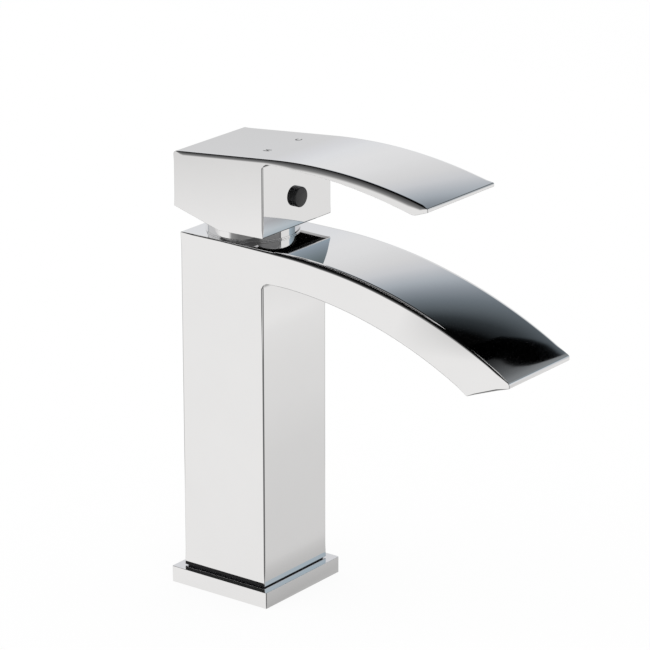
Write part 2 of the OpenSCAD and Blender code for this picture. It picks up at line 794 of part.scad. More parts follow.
body_casting();
base_plate();
column_seal();
deck_gasket();
cartridge_base();
port_seals();
disc_seals();
fixed_disc();
moving_disc();
disc_carrier();
cartridge_housing();
turning_guide();
guide_oring();
stem_pin();
lever_stem();
retaining_nut();
collar_oring();
cover_collar();
handle();
grub_screw();
screw_cap();
outlet_insert();
outlet_screen();
outlet_seal();
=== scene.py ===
# %% [markdown]
# # A basin mixer tap in chrome
# The tap is a square column on a square plate, with an arched flat spout and a block handle whose lever is
# arched like the spout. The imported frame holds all 24 pieces of it as exact solids, where they belong. Their
# faces are small flat triangles, and polished chrome shows every one of them, so the five chromed or moulded
# pieces that the eye meets first are drawn again here as smooth surfaces of the same size. The pieces inside
# keep their solids and get their finishes.

# %% Load the frame and keep its box
import json

import bpy
import numpy as np
from mathutils import Matrix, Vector
from mathutils.bvhtree import BVHTree
from mathutils.geometry import delaunay_2d_cdt


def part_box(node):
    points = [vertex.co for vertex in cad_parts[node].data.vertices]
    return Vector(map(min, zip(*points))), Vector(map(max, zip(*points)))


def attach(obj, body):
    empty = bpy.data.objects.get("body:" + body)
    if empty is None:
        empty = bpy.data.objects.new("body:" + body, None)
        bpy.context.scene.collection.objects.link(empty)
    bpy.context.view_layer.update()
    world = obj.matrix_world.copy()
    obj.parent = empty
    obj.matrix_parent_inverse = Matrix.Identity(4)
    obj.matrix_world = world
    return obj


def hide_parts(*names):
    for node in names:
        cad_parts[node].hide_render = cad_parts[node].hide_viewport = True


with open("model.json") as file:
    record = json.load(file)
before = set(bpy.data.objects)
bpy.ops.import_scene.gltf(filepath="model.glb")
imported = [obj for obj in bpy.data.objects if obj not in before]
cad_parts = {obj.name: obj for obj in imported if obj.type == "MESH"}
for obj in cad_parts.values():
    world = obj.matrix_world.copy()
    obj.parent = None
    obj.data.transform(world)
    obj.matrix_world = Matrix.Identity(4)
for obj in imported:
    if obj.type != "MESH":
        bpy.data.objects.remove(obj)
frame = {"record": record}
scene = bpy.context.scene
scene.view_settings.view_transform = "Standard"
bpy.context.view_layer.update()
MM = 0.001

# %% [markdown]
# ## The camera
# The photograph was taken from the tap's hot side and a little above it, with a long lens. Its place comes
# from the edges of the plate, the column and the body's top, which are square to each other, so three
# directions and one distance fix it. The camera's matrix is written from these directions instead of being
# aimed at a point.

# %% Camera
lens = bpy.data.cameras.new("photo_lens")
lens.lens = 192.71
lens.sensor_width = 36
lens.clip_end = 30  # metres, past the far end of the floor
camera = bpy.data.objects.new("camera", lens)
scene.collection.objects.link(camera)
to_right = (0.60123601, -0.79907089, -0.00098621)  # across the picture
to_top = (0.25572249, 0.19124085, 0.947646)  # up the picture
to_camera = (-0.75704773, -0.5700111, 0.31932128)  # back along the look
camera_place = np.array([-959.298, -755.215, 511.872]) * MM
turn = Matrix((to_right, to_top, to_camera)).transposed().to_4x4()
camera.matrix_world = Matrix.Translation(camera_place.tolist()) @ turn
scene.camera = camera
print("camera stands", round(float(np.linalg.norm(camera_place)), 3), "m from the deck's centre")

# %% [markdown]
# ## Outlines with exact normals
# The body and the handle are both an outline seen from the side, carried across their width. An outline is
# kept as two arrays: points, and the outward normal at each point. Distances f are counted in front of the
# axis and heights z from the deck, in millimetres, and every outline is travelled clockwise, so that
# outwards is always a quarter turn to the left. Normals worked out from the formula instead of from the
# triangles are what makes a reflection run over an arch without a ripple.


# %% Straight and round runs
def unit(vectors):
    """Each vector divided by its own length."""
    return vectors / np.linalg.norm(vectors, axis=-1, keepdims=True)


def stretch(*points):
    """Points on a straight line, all with the normal that is its direction turned a quarter to the left."""
    points = np.array(points, float)
    along = unit(points[-1] - points[0])
    return points, np.tile([-along[1], along[0]], (len(points), 1))


def eased(*points, near=(0.7, 1.4, 2.2, 3.2, 4.5, 6.0)):
    """A stretch with extra points near its two ends, where edges that are broken more widely taper off."""
    line = np.array(points, float)
    near = [d for d in near if d < 0.45 * np.linalg.norm(line[-1] - line[0])]
    first, last = unit(line[1] - line[0]), unit(line[-2] - line[-1])
    return stretch(line[0], *(line[0] + d * first for d in near), *line[1:-1],
                   *(line[-1] + d * last for d in near[::-1]), line[-1])


def arc(centre, radius, start, end, facing=1, step=0.5):
    """Centre plus radius times (cos a, sin a), a from start to end degrees; facing -1 looks inwards."""
    count = int(np.ceil(abs(np.radians(end - start)) * radius / step)) + 2
    angles = np.radians(np.linspace(start, end, count))
    spokes = np.stack([np.cos(angles), np.sin(angles)], axis=1)
    return np.array(centre) + radius * spokes, facing * spokes


def angle_at(centre, radius, distance):
    """The angle at which a circle reaches a distance: the arc cosine of (distance - centre) / radius."""
    return np.degrees(np.arccos((distance - centre[0]) / radius))


def follow(first, second):
    """One run after another, where they meet smoothly."""
    return tuple(np.concatenate([a, b[1:]]) for a, b in zip(first, second))


# %% Corners between the runs
def cross(a, b):
    """How far b turns to the left of a: the sine of that angle when both have length 1."""
    return a[..., 0] * b[..., 1] - a[..., 1] * b[..., 0]


def crossing(a, b):
    """Places where two lines of points cross: p + t r = q + w s, solved for all pairs of pieces at once."""
    p, r = a[:-1, None], np.diff(a, axis=0)[:, None]
    q, s = b[None, :-1], np.diff(b, axis=0)[None]
    with np.errstate(divide="ignore", invalid="ignore"):
        t = cross(q - p, s) / cross(r, s)
        w = cross(q - p, r) / cross(r, s)
    slack = 1e-6
    i, j = np.argwhere((abs(t - 0.5) <= 0.5 + slack) & (abs(w - 0.5) <= 0.5 + slack))[0]
    return i + np.clip(t[i, j], 0, 1), j + np.clip(w[i, j], 0, 1)


def piece_of(run, start, end):
    """The part of a run between two places, with both ends worked out between its points."""
    places = np.concatenate([[start], np.arange(np.floor(start) + 1, np.ceil(end)), [end]])
    steps = np.arange(len(run[0]))
    points, normals = (np.stack([np.interp(places, steps, v[:, k]) for k in (0, 1)], axis=1) for v in run)
    return points, unit(normals)


def outline(*chain):
    """Runs and corner radii in turn make one loop. A corner's centre is where both runs cross when they are
    moved inwards by its radius, and its round is centre plus radius times the turning normal. A radius below
    0 rounds a hollow corner, and 0 leaves the corner sharp."""
    runs, radii = chain[::2], chain[1::2]
    starts, ends, rounds = [0.0], [], []
    for before, after, radius in zip(runs, runs[1:], radii):
        at_before, at_after = crossing(before[0] - radius * before[1], after[0] - radius * after[1])
        ends.append(at_before)
        starts.append(at_after)
        (point,), (first,) = (v[-1:] for v in piece_of(before, 0, at_before))
        (_,), (last,) = (v[:1] for v in piece_of(after, at_after, len(after[0]) - 1))
        swing = np.arctan2(cross(first, last), first @ last)
        angles = np.arctan2(first[1], first[0]) + swing * np.linspace(0, 1, 3 + int(abs(swing) * 9))[1:-1]
        normals = np.stack([np.cos(angles), np.sin(angles)], axis=1)
        rounds.append((point - radius * first + radius * normals, normals))
    ends.append(len(runs[-1][0]) - 1)
    parts = [piece_of(*span) for span in zip(runs, starts, ends)]
    in_turn = [part for pair in zip(parts, rounds) for part in pair] + parts[-1:]
    return tuple(np.concatenate(values) for values in zip(*in_turn))


def rectangle(low, high, radius=0.0, also=()):
    """A loop round a rectangle, clockwise from the middle of its left side; also gives extra heights z."""
    (left, down), (right, up) = low, high
    middle = (down + up) / 2
    rising = sorted(z for z in also if middle < z < up)
    return outline(
        stretch((left, middle), *((left, z) for z in rising), (left, up)), radius,
        stretch((left, up), (right, up)), radius,
        stretch((right, up), *((right, z) for z in sorted(also, reverse=True)), (right, down)), radius,
        stretch((right, down), (left, down)), radius,
        stretch((left, down), *((left, z) for z in sorted(also) if z < middle), (left, middle)))


# %% [markdown]
# ## A skin that collects surfaces
# Each piece is a few patches: a grid carried across, rings round a pocket, flat faces. The skin keeps every
# patch's points, triangles and the wanted normal at each corner. In the end it merges points that lie on
# each other, so the piece is closed, drops triangles that have no area, and hands the corner normals to the
# mesh.


# %% Skin
class Skin:
    """Patches of one piece, in millimetres."""

    def __init__(self):
        self.points, self.corners, self.normals, self.finishes, self.count = [], [], [], [], 0
        self.finish = 0

    def add(self, points, triangles, normals):
        """Keeps a patch; triangles that face against their corners' normals are turned round."""
        edges = points[triangles[:, 1:]] - points[triangles[:, :1]]
        against = (np.cross(edges[:, 0], edges[:, 1]) * normals[triangles].sum(axis=1)).sum(axis=1) < 0
        triangles[against] = triangles[against][:, ::-1]
        self.points.append(points)
        self.corners.append(triangles + self.count)
        self.normals.append(normals[triangles])
        self.finishes.append(np.full(len(triangles), self.finish))
        self.count += len(points)

    def grid(self, points, normals, keep=True):
        """A sheet of rows and columns, two triangles to a cell; keep marks the cells that aren't a hole."""
        rows, columns = points.shape[:2]
        index = np.arange(rows * columns).reshape(rows, columns)
        cells = np.stack([index[:-1, :-1], index[1:, :-1], index[1:, 1:], index[:-1, 1:]], axis=-1)
        cells = cells[np.broadcast_to(keep, cells.shape[:2])]
        triangles = np.concatenate([cells[:, [0, 1, 2]], cells[:, [0, 2, 3]]])
        self.add(points.reshape(-1, 3), triangles, normals.reshape(-1, 3))

    def wall(self, loop, place, levels, inwards=False):
        """A loop moved through levels: place maps its points and a level to space. Its normals are mapped as
        the difference that they make at the first level."""
        flat, out = loop
        points = np.stack([place(flat, level) for level in levels])
        sideways = unit(place(flat + out, levels[0]) - place(flat, levels[0]))
        self.grid(points, np.broadcast_to(-sideways if inwards else sideways, points.shape))

    def face(self, loops, place, level, normal):
        """A flat face inside the first loop and outside the others, as triangles between their points."""
        rings = [
            flat[np.r_[True, np.linalg.norm(np.diff(flat, axis=0), axis=1) > 1e-6]][:-1] for flat in loops]
        bounds = np.cumsum([0] + [len(ring) for ring in rings])
        edges = np.concatenate([
            np.stack([np.arange(a, b), np.roll(np.arange(a, b), -1)], axis=1)
            for a, b in zip(bounds, bounds[1:])])
        flat, _, faces, *_ = delaunay_2d_cdt(
            [tuple(p) for p in np.concatenate(rings)], edges.tolist(), [], 0, 1e-7)
        flat, faces = np.array(flat), np.array(faces)
        middles = flat[faces].mean(axis=1)
        inside = within(middles, rings[0])
        for ring in rings[1:]:
            inside &= ~within(middles, ring)
        points = place(flat, level)
        self.add(points, faces[inside], np.broadcast_to(np.array(normal, float), points.shape))

    def make(self, name, finishes, body, slot, *nodes):
        """Merges the patches into one mesh object, gives it its finishes and says what it rides on and which
        nodes it replaces. Patches added while self.finish was 0 get the first finish, and at 1 the second."""
        points = np.concatenate(self.points)
        _, first, same = np.unique(np.round(points, 5), axis=0, return_index=True, return_inverse=True)
        corners = same.reshape(-1)[np.concatenate(self.corners)]
        normals = np.concatenate(self.normals)
        points = points[first]
        a, b, c = (points[corners[:, k]] for k in range(3))
        solid = np.linalg.norm(np.cross(b - a, c - a), axis=1) > 1e-9
        corners, normals, finish_of = corners[solid], normals[solid], np.concatenate(self.finishes)[solid]
        mesh = bpy.data.meshes.new(name)
        mesh.from_pydata((points * MM).tolist(), [], corners.tolist())
        mesh.polygons.foreach_set("use_smooth", np.ones(len(corners), bool))
        mesh.normals_split_custom_set(normals.reshape(-1, 3).tolist())
        for finish in finishes:
            mesh.materials.append(finish)
        mesh.polygons.foreach_set("material_index", finish_of)
        piece = bpy.data.objects.new(name, mesh)
        scene.collection.objects.link(piece)
        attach(piece, body)
        apart = ""
        if nodes:
            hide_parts(*nodes)
            apart = f", at most {farthest_from(points, nodes[0]):.2f} mm from its solid"
        print(f"{name}: {len(corners)} triangles{apart}")


def within(points, ring):
    """A point is inside a ring when a level ray from it crosses the ring's sides an odd number of times."""
    a, b = ring[None], np.roll(ring, -1, axis=0)[None]
    x, z = points[:, None, 0], points[:, None, 1]
    with np.errstate(divide="ignore", invalid="ignore"):
        at = a[..., 0] + (z - a[..., 1]) / (b[..., 1] - a[..., 1]) * (b[..., 0] - a[..., 0])
    return (((a[..., 1] > z) != (b[..., 1] > z)) & (x < at)).sum(axis=1) % 2 == 1


def farthest_from(points, node, samples=400):
    """The largest distance from a sample of points to the surface of a node's solid, in millimetres."""
    mesh = bpy.data.objects[node].data
    tree = BVHTree.FromPolygons([v.co for v in mesh.vertices], [p.vertices for p in mesh.polygons])
    some = points[:: max(1, len(points) // samples)] * MM
    return max(tree.find_nearest(point)[3] for point in some.tolist()) / MM


# %% [markdown]
# ## Finishes
# Every finish is a small node tree in the piece's own coordinates, so it needs no picture and stays on the
# piece when the piece turns. Writing one node after another hides the idea, so a thin wrapper lets
# arithmetic be written as arithmetic: a socket times a number adds a Math node.


# %% Sockets with arithmetic
class Value:
    """An output socket; + - * / with a number or another socket add a Math node."""

    def __init__(self, tree, socket):
        self.tree, self.socket = tree, socket

    def math(self, operation, first, second):
        return self.tree.math(operation, first, second)

    def __add__(self, other):
        return self.math("ADD", self, other)

    def __radd__(self, other):
        return self.math("ADD", other, self)

    def __sub__(self, other):
        return self.math("SUBTRACT", self, other)

    def __rsub__(self, other):
        return self.math("SUBTRACT", other, self)

    def __mul__(self, other):
        return self.math("MULTIPLY", self, other)

    def __rmul__(self, other):
        return self.math("MULTIPLY", other, self)

    def __truediv__(self, other):
        return self.math("DIVIDE", self, other)

    def __rtruediv__(self, other):
        return self.math("DIVIDE", other, self)


# %% Node trees
class Tree:
    """A material's or the world's nodes, empty but for the output."""

    def __init__(self, owner, output):
        owner.use_nodes = True
        self.nodes, self.links = owner.node_tree.nodes, owner.node_tree.links
        self.nodes.clear()
        self.output = self.nodes.new(output)

    def make(self, kind, settings=None, inputs=None, out=0):
        """Adds a node: first its settings, such as a ramp's stops, then values or links into its sockets."""
        node = self.nodes.new(kind)
        for name, value in (settings or {}).items():
            if name == "stops":
                self.set_stops(node.color_ramp.elements, value)
            else:
                setattr(node, name, value)
        for name, value in (inputs or {}).items():
            if isinstance(value, Value):
                self.links.new(value.socket, node.inputs[name])
            else:
                node.inputs[name].default_value = value
        return Value(self, node.outputs[out])

    def set_stops(self, elements, stops):
        """Gives a ramp its stops, each a place from 0 to 1 and a grey or a colour."""
        while len(elements) < len(stops):
            elements.new(0.5)
        for element, (place, colour) in zip(elements, stops):
            element.position = place
            element.color = (*([colour] * 3 if np.isscalar(colour) else colour), 1)

    def math(self, operation, first, second):
        """A Math node between two numbers or sockets."""
        return self.make("ShaderNodeMath", {"operation": operation}, {0: first, 1: second})

    def mix(self, factor, first, second):
        """Two colours mixed by a factor."""
        settings = {"data_type": "RGBA", "clamp_factor": True}
        return self.make("ShaderNodeMix", settings, {0: factor, 6: first, 7: second}, out=2)

    def ramp(self, stops, where):
        """A ColorRamp node: straight from stop to stop, and level before the first and after the last."""
        return self.make("ShaderNodeValToRGB", {"stops": stops}, {"Fac": where})

    def axes(self, vector, names):
        """The numbers x, y or z of a vector, as many as are named."""
        return [self.make("ShaderNodeSeparateXYZ", None, {0: vector}, out=name) for name in names]

    def place(self, scale=(1, 1, 1), turn=(0, 0, 0)):
        """The piece's own coordinates, turned and stretched by a Mapping node."""
        own = self.make("ShaderNodeTexCoord", out="Object")
        return self.make("ShaderNodeMapping", {"vector_type": "POINT"}, {
            "Vector": own, "Rotation": turn, "Scale": scale})

    def noise(self, where, scale, detail=3.0, roughness=0.5):
        """Soft noise from 0 to 1; scale counts its waves in a metre."""
        return self.make("ShaderNodeTexNoise", {"noise_dimensions": "3D"}, {
            "Vector": where, "Scale": scale, "Detail": detail, "Roughness": roughness})

    def bump(self, height, distance):
        """Tilts the surface as a relief would: height runs from 0 to 1, distance is its depth in metres."""
        return self.make("ShaderNodeBump", None, {"Height": height, "Distance": distance, "Strength": 1.0})

    def end(self, shader):
        """Joins the last shader to the output."""
        self.links.new(shader.socket, self.output.inputs["Surface"])


def finish(name):
    """A new material and its tree."""
    material = bpy.data.materials.new(name)
    return material, Tree(material, "ShaderNodeOutputMaterial")


COLOURS = {row["slot"]: tuple(row["base_color"]) for row in frame["record"]["materials"]}


def shades(slot, *factors):
    """A slot's colour in the record times each factor, with the alpha that a socket wants."""
    return [(*(min(1.0, channel * factor) for channel in COLOURS[slot]), 1.0) for factor in factors]


print("colours in the record:", sorted(COLOURS))

# %% [markdown]
# ## Chrome
# Bright chrome is a thin plating on polished brass. It mirrors the room at about three quarters of its
# light, and nearly all that is seen on it is the room. What tells it from a perfect mirror is slight: the
# polisher's wheel leaves waves a few thousandths of a millimetre high, and fingers and drying water leave a
# breath of haze. So the waves are a bump of that height, and the haze moves the roughness between two small
# values. Inside the handle the plating doesn't reach. There a second finish, a dull casting skin painted
# nearly black, is painted shade that stands in for the shade inside and under the handle.


# %% Chrome finish
def chrome_finish():
    """Polished chrome: a mirror with slow waves, a breath of haze and a few dried spots."""
    material, tree = finish("polished_chrome")
    own = tree.place()
    haze = tree.noise(own, 35, detail=4, roughness=0.6)
    spots = tree.ramp([(0.62, 0.0), (0.8, 1.0)], tree.noise(own, 420, detail=2))
    waves = tree.noise(own, 45, detail=1)
    tree.end(tree.make("ShaderNodeBsdfPrincipled", None, {
        "Base Color": tree.mix(haze, *shades("chrome", 1.0, 1.04)), "Metallic": 1.0,
        "Roughness": 0.015 + haze * 0.025 + spots * 0.01, "Normal": tree.bump(waves, 3e-6)}))
    return material


def painted_shade_casting_finish():
    """The dull skin of the mould, which the plating doesn't reach inside the handle, painted nearly black as
    painted shade for the inside and underside of the handle.
    """
    material, tree = finish("painted_shade_casting")
    own = tree.place()
    sand = tree.noise(own, 900, detail=4, roughness=0.65)
    tree.end(tree.make("ShaderNodeBsdfPrincipled", None, {
        # painted shade: a near-black base colour stands in for the shade inside and under the handle
        "Base Color": tree.mix(sand, (0.003, 0.003, 0.003, 1), (0.012, 0.011, 0.01, 1)),
        "Metallic": 0.0, "Specular IOR Level": 0.15, "Roughness": 0.6 + sand * 0.25,
        "Normal": tree.bump(sand, 4e-5)}))
    return material


chrome, painted_shade_casting = chrome_finish(), painted_shade_casting_finish()
print("finishes so far:", chrome.name, "and", painted_shade_casting.name)

# %% [markdown]
# ## The body casting
# Column and spout are one casting, as wide throughout as the column. The top of the spout starts level and
# then follows a big circle, and the underside follows another one, so the spout is thickest where it leaves
# the column and ends in a narrow upright face at its tip. Below the tip a flat, tilted face holds the
# outlet. A grinder's belt makes the broad faces and rounds the edges between them before plating: hardly at
# the root of the spout and at its tip, and widest halfway, where the hand leans on the belt. The width of
# such an edge is what shows as a dark or light line along it, so it is worked out for each row of the
# outline.

# %% Sizes of the body
casting_low, casting_high = (np.array(corner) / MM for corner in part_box("body_casting"))  # in millimetres
seal_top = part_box("column_seal")[1][2] / MM
half = casting_high[0]
top = casting_high[2]
reach = -casting_low[1]
edge = 0.2  # the sharpest edge, as plating leaves it
spout_flat, spout_top_r = 26.8, 190.0  # where the top starts to bend, and its circle
under_peak, under_r, root = 21.6, 171.0, 12.7  # highest point and circle of the underside, and depth there
tip_face, outlet_tilt, throat_r, tip_round = 1.7, 19.9, 2.2, 1.3
outlet_long, under_from = 22, reach - 14  # the outlet's face and the underside's circle run on and cross
top_centre = np.array([spout_flat, top - spout_top_r])
under_centre = np.array([under_peak, top - root - under_r])
tip_top = top_centre[1] + np.sqrt(spout_top_r**2 - (reach - spout_flat) ** 2)
tip_low = np.array([reach, tip_top - tip_face])
back_down = -np.array([np.cos(np.radians(outlet_tilt)), np.sin(np.radians(outlet_tilt))])
pocket_from, pocket_long, pocket_half, pocket_deep = 5.6, 10.0, 14.0, 5.1
pocket_ends = [tip_low + (pocket_from + add) * back_down for add in (0, pocket_long)]
print(f"column {2 * half:.1f} mm wide, top at {top:.1f}, spout reaches {reach:.1f},",
      f"tip's top at {tip_top:.2f}")


# %% Carrying an outline across the width
side_lean, top_lean = np.radians(20.0), np.radians(84.0)
across_leans = np.radians(np.r_[0:20:4, 20:84:6.4, 84:90.1:1.5])


def length_walked(loop):
    """Length walked along an outline up to each of its points."""
    return np.r_[0, np.cumsum(np.linalg.norm(np.diff(loop[0], axis=0), axis=1))]


def clear_of_corners(loop, fade=2.5, tight=3.0):
    """0 at outward corners whose radius is below tight millimetres, rising to 1 at fade millimetres from
    them. A corner is where the normal turns by more than 1 / tight for each millimetre walked. The loop runs
    clockwise, so an outward corner's normals turn clockwise too."""
    walked = length_walked(loop)
    bend = cross(loop[1][:-1], loop[1][1:]) / np.maximum(np.diff(walked), 1e-9)
    corners = walked[:-1][bend < -1 / tight]
    apart = np.abs(walked[:, None] - corners[None])
    return np.clip(np.minimum(apart, walked[-1] - apart).min(axis=1) / fade, 0, 1)


def sides_of(loop):
    """How much each outline point faces up, and how much it faces front or back, from 0 to 1."""
    out = loop[1]
    return np.clip(2 * out[:, 1] - 0.6, 0, 1), np.clip(3 * abs(out[:, 0]) - 2, 0, 1)


def across(loop, half_width, broken, side_roll=0.0, top_roll=0.0, lines=()):
    """Outline points and normals carried from one side to the other. Near each side the normal leans from
    the side's own direction (lean 0) to the outline's (90 degrees) in three arcs that follow each other: the
    side's roll for the first 20 degrees, the broken edge, and the top's roll for the last 6. An arc of
    radius r that turns from lean a to lean b rises by r (sin b - sin a) and moves inwards by r
    (cos a - cos b). Extra lines of points run at fixed places across, where a pocket or a hollow needs a
    border."""
    flat, out = loop
    column = lambda value: np.broadcast_to(np.asarray(value, float).reshape(-1, 1), (len(flat), 1))
    leans = across_leans[None]
    arcs = ((0, side_lean, column(broken) + column(side_roll)), (side_lean, top_lean, column(broken)),
            (top_lean, np.pi / 2, column(broken) + column(top_roll)))
    inset = sum(r * (np.sin(b) - np.sin(np.clip(leans, a, b))) for a, b, r in arcs)
    inside = sum(r * (np.cos(a) - np.cos(np.clip(leans, a, b))) for a, b, r in arcs)
    middle = np.tile(np.array(sorted(lines)), (len(flat), 1))
    x = np.concatenate([inside - half_width, middle, (half_width - inside)[:, ::-1]], axis=1)
    inset = np.concatenate([inset, 0 * middle, inset[:, ::-1]], axis=1)
    leans = np.tile(leans, (len(flat), 1))
    upward = np.concatenate([np.sin(leans), 0 * middle + 1, np.sin(leans)[:, ::-1]], axis=1)
    sideways = np.concatenate([-np.cos(leans), 0 * middle, np.cos(leans)[:, ::-1]], axis=1)
    points = np.stack([x, -(flat[:, :1] - inset * out[:, :1]), flat[:, 1:] - inset * out[:, 1:]], axis=-1)
    normals = np.stack([sideways, -upward * out[:, :1], upward * out[:, 1:]], axis=-1)
    return points, unit(normals)


def side_face(skin, points, column, direction):
    """Closes one side of a carried outline with a flat face through the grid's first or last column."""
    edge_line = points[:, column]
    flat = np.stack([-edge_line[:, 1], edge_line[:, 2]], axis=1)
    place = lambda p, x: np.stack([np.full(len(p), x), -p[:, 0], p[:, 1]], axis=1)
    skin.face([flat], place, edge_line[0, 0], (direction, 0, 0))


def row_at(loop, point):
    """The row of an outline that lies on a point."""
    return int(np.argmin(np.linalg.norm(loop[0] - point, axis=1)))


# %% Body outline
foot_z, middle_z = seal_top, (seal_top + top) / 2
back_corner, tip_corner, outlet_corner, foot_corner = 0.5, 0.45, 0.8, 0.22
body_loop = outline(
    eased((-half, middle_z), (-half, top)), back_corner,
    follow(eased((-half, top), (0, top), (spout_flat, top)),
           arc(top_centre, spout_top_r, 90, angle_at(top_centre, spout_top_r, reach))), tip_round,
    stretch((reach, tip_top), tip_low), tip_corner,
    stretch(tip_low, *pocket_ends, tip_low + outlet_long * back_down), outlet_corner,
    arc(under_centre, under_r, angle_at(under_centre, under_r, under_from),
        angle_at(under_centre, under_r, half), facing=-1), -throat_r,
    eased((half, top - root), (half, middle_z), (half, foot_z)), foot_corner,
    stretch((half, foot_z), (-half, foot_z)), foot_corner,
    eased((-half, foot_z), (-half, middle_z)))
print("body outline:", len(body_loop[0]), "points,",
      "lowest under the outlet", round(body_loop[0][:, 1].min(), 2))

# %% Body skin with the outlet's pocket
body = Skin()
facing_up, upright = sides_of(body_loop)
clear = clear_of_corners(body_loop, fade=5)
forward = body_loop[0][:, 0]
upright_edge, top_swell = 0.78, 6
top_edge = np.interp(forward, [5, 27, 45, 75, 100, 118], [0.45, 1.2, 1.7, 1.6, 1.1, 0.6])
under_edge = np.interp(forward, [20, 30], [0.5, 1.0]) * (1 - upright) + upright_edge * upright
foot = body_loop[0][:, 1] < foot_z + 0.01
wanted = facing_up * top_edge + (1 - facing_up) * np.where(foot, edge, under_edge)
points, normals = across(
    body_loop, half, edge + clear * (wanted - edge), top_roll=top_swell * facing_up * clear,
    lines=(-pocket_half, pocket_half))
pocket_rows = slice(row_at(body_loop, pocket_ends[0]), row_at(body_loop, pocket_ends[1]))
keep = np.ones(np.array(points.shape[:2]) - 1, bool)
keep[pocket_rows, points.shape[1] // 2 - 1] = False  # the middle column lies between the two lines
body.grid(points, normals, keep)
side_face(body, points, 0, -1)
side_face(body, points, -1, 1)


def at_outlet(flat, depth):
    """Outlet coordinates: across the spout, back along its face from the tip, and a depth into it."""
    along = np.array([0, -back_down[0], back_down[1]])
    inward = np.array([0, -back_down[1], -back_down[0]])
    corner = np.array([0, -tip_low[0], tip_low[1]])
    return corner + flat[:, :1] * [1, 0, 0] + flat[:, 1:] * along + depth * inward


pocket = rectangle((-pocket_half, pocket_from), (pocket_half, pocket_from + pocket_long))
body.wall(pocket, at_outlet, (0, pocket_deep), inwards=True)
body.face([pocket[0]], at_outlet, pocket_deep, (0, back_down[1], back_down[0]))

# %% [markdown]
# Under the column the casting goes on as a round spigot that stands in the plate's hole. From below, the
# threaded holes for the two hoses and for the fixing stud are seen in it, so it is drawn with its bores.


# %% Foot of the casting
def circle(centre, radius):
    """A closed circle, clockwise."""
    return arc(centre, radius, 360, 0, step=radius / 12)


def level_place(flat, z):
    """Coordinates x and y at a height."""
    return np.concatenate([flat, np.full((len(flat), 1), z)], axis=1)


spigot_z, spigot_r = casting_low[2], 14.5
spigot = circle((0, 0), spigot_r)
hose, stud = (4.5, 11), (3.4, 16)  # radius and depth
bores = [(circle(centre, radius), depth)
         for centre, (radius, depth) in (((-7.5, 3), hose), ((7.5, 3), hose), ((0, -9), stud))]
into_foot = 0.2  # the spigot starts a little inside the casting, so that no gap shows round it
body.wall(spigot, level_place, (foot_z + into_foot, spigot_z))
body.face([spigot[0], *(bore[0] for bore, _ in bores)], level_place, spigot_z, (0, 0, -1))
for bore, depth in bores:
    body.wall(bore, level_place, (spigot_z, spigot_z + depth), inwards=True)
    body.face([bore[0]], level_place, spigot_z + depth, (0, 0, -1))
body.make("body_skin", [chrome], "tap_body", "chrome", "body_casting")

# %% [markdown]
# ## The base plate
# A square plate, a little wider than the column, covers the hole in the basin. Its rim is a profile carried
# round a rounded square, and flat faces with round or square holes close its top, underside and gasket
# recess.

# %% Plate
plate_high = np.array(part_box("base_plate")[1]) / MM
plate_half, plate_top = plate_high[0], plate_high[2]
plate_hole, recess_wall, recess_deep = 14.7, 2.6, 1.2
recess_half = plate_half - recess_wall
plate_edge, plate_corner, recess_corner = 0.12, 0.5, 0.6


def rounded_square(half_size, radius):
    """A square loop about the middle, with rounded corners."""
    return rectangle((-half_size, -half_size), (half_size, half_size), radius)


plate = Skin()
rim = rounded_square(plate_half, plate_corner)
lean = np.radians(np.arange(0, 91, 15))[:, None, None]
inset = plate_edge * (1 - np.cos(lean))
for face_z, up in ((plate_top, 1), (0, -1)):
    # the edge's quarter round: inwards by edge (1 - cos lean), and short of the face by edge (1 - sin lean)
    ring = rim[0][None] - inset * rim[1][None]
    height = face_z - up * plate_edge * (1 - np.sin(lean)) + 0 * ring[..., :1]
    leaning = np.concatenate([np.cos(lean) * rim[1][None], up * np.sin(lean) + 0 * ring[..., :1]], axis=-1)
    plate.grid(np.concatenate([ring, height], axis=-1), leaning)
    hole = circle((0, 0), plate_hole) if up > 0 else rounded_square(recess_half, recess_corner)
    plate.face([ring[-1], hole[0]], level_place, face_z, (0, 0, up))
plate.wall(rim, level_place, (plate_edge, plate_top - plate_edge))
recess, hole = rounded_square(recess_half, recess_corner), circle((0, 0), plate_hole)
plate.wall(recess, level_place, (0, recess_deep), inwards=True)
plate.face([recess[0], hole[0]], level_place, recess_deep, (0, 0, -1))
plate.wall(hole, level_place, (recess_deep, plate_top), inwards=True)
plate.make("plate_skin", [chrome], "tap_body", "chrome", "base_plate")

# %% [markdown]
# ## The handle
# Block and lever are cast in one. Seen from the side the block's top slopes up a little towards the front,
# then turns into the lever's big arch; the underside rises towards the back, so that the block can tip when
# the lever is lifted. Along the lever the sides swell softly into the top, which shows as a dark band that
# fades into light. The block's bottom face is plated only at its rim behind the axis. Its front half gets the
# dull casting skin painted nearly black, which is painted shade for the shade under the block.

# %% Sizes of the handle
handle_low, handle_high = (np.array(corner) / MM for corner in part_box("handle"))
handle_half, handle_bottom = handle_high[0], handle_low[2]
block_back, lever_reach = handle_high[1], -handle_low[1]
block_h, block_front, top_slope = 28.398, 20.4, np.radians(5.14)
under_slope, under_front_slope = np.radians(15.6), np.radians(1.2)
back_round, lever_bend, lever_top_r = 1.6, 23.1, 201.4  # the bend is where the sloping top meets the arch
lever_under_r, lever_peak, lever_root = 225.3, 28.7, 2.3  # circle and highest point below, depth there
lever_tip_face, lever_tilt = 1.3, np.radians(19.5)
axis_top = handle_bottom + block_h
bend_top = axis_top + lever_bend * np.tan(top_slope)
back_top = axis_top - block_back * np.tan(top_slope)
lever_centre = np.array([lever_bend, bend_top]) + lever_top_r * np.array([
    np.sin(top_slope), -np.cos(top_slope)])


def lever_height(distance):
    """Height of the lever's arched top at a distance in front of the axis."""
    return lever_centre[1] + np.sqrt(lever_top_r**2 - (distance - lever_centre[0]) ** 2)


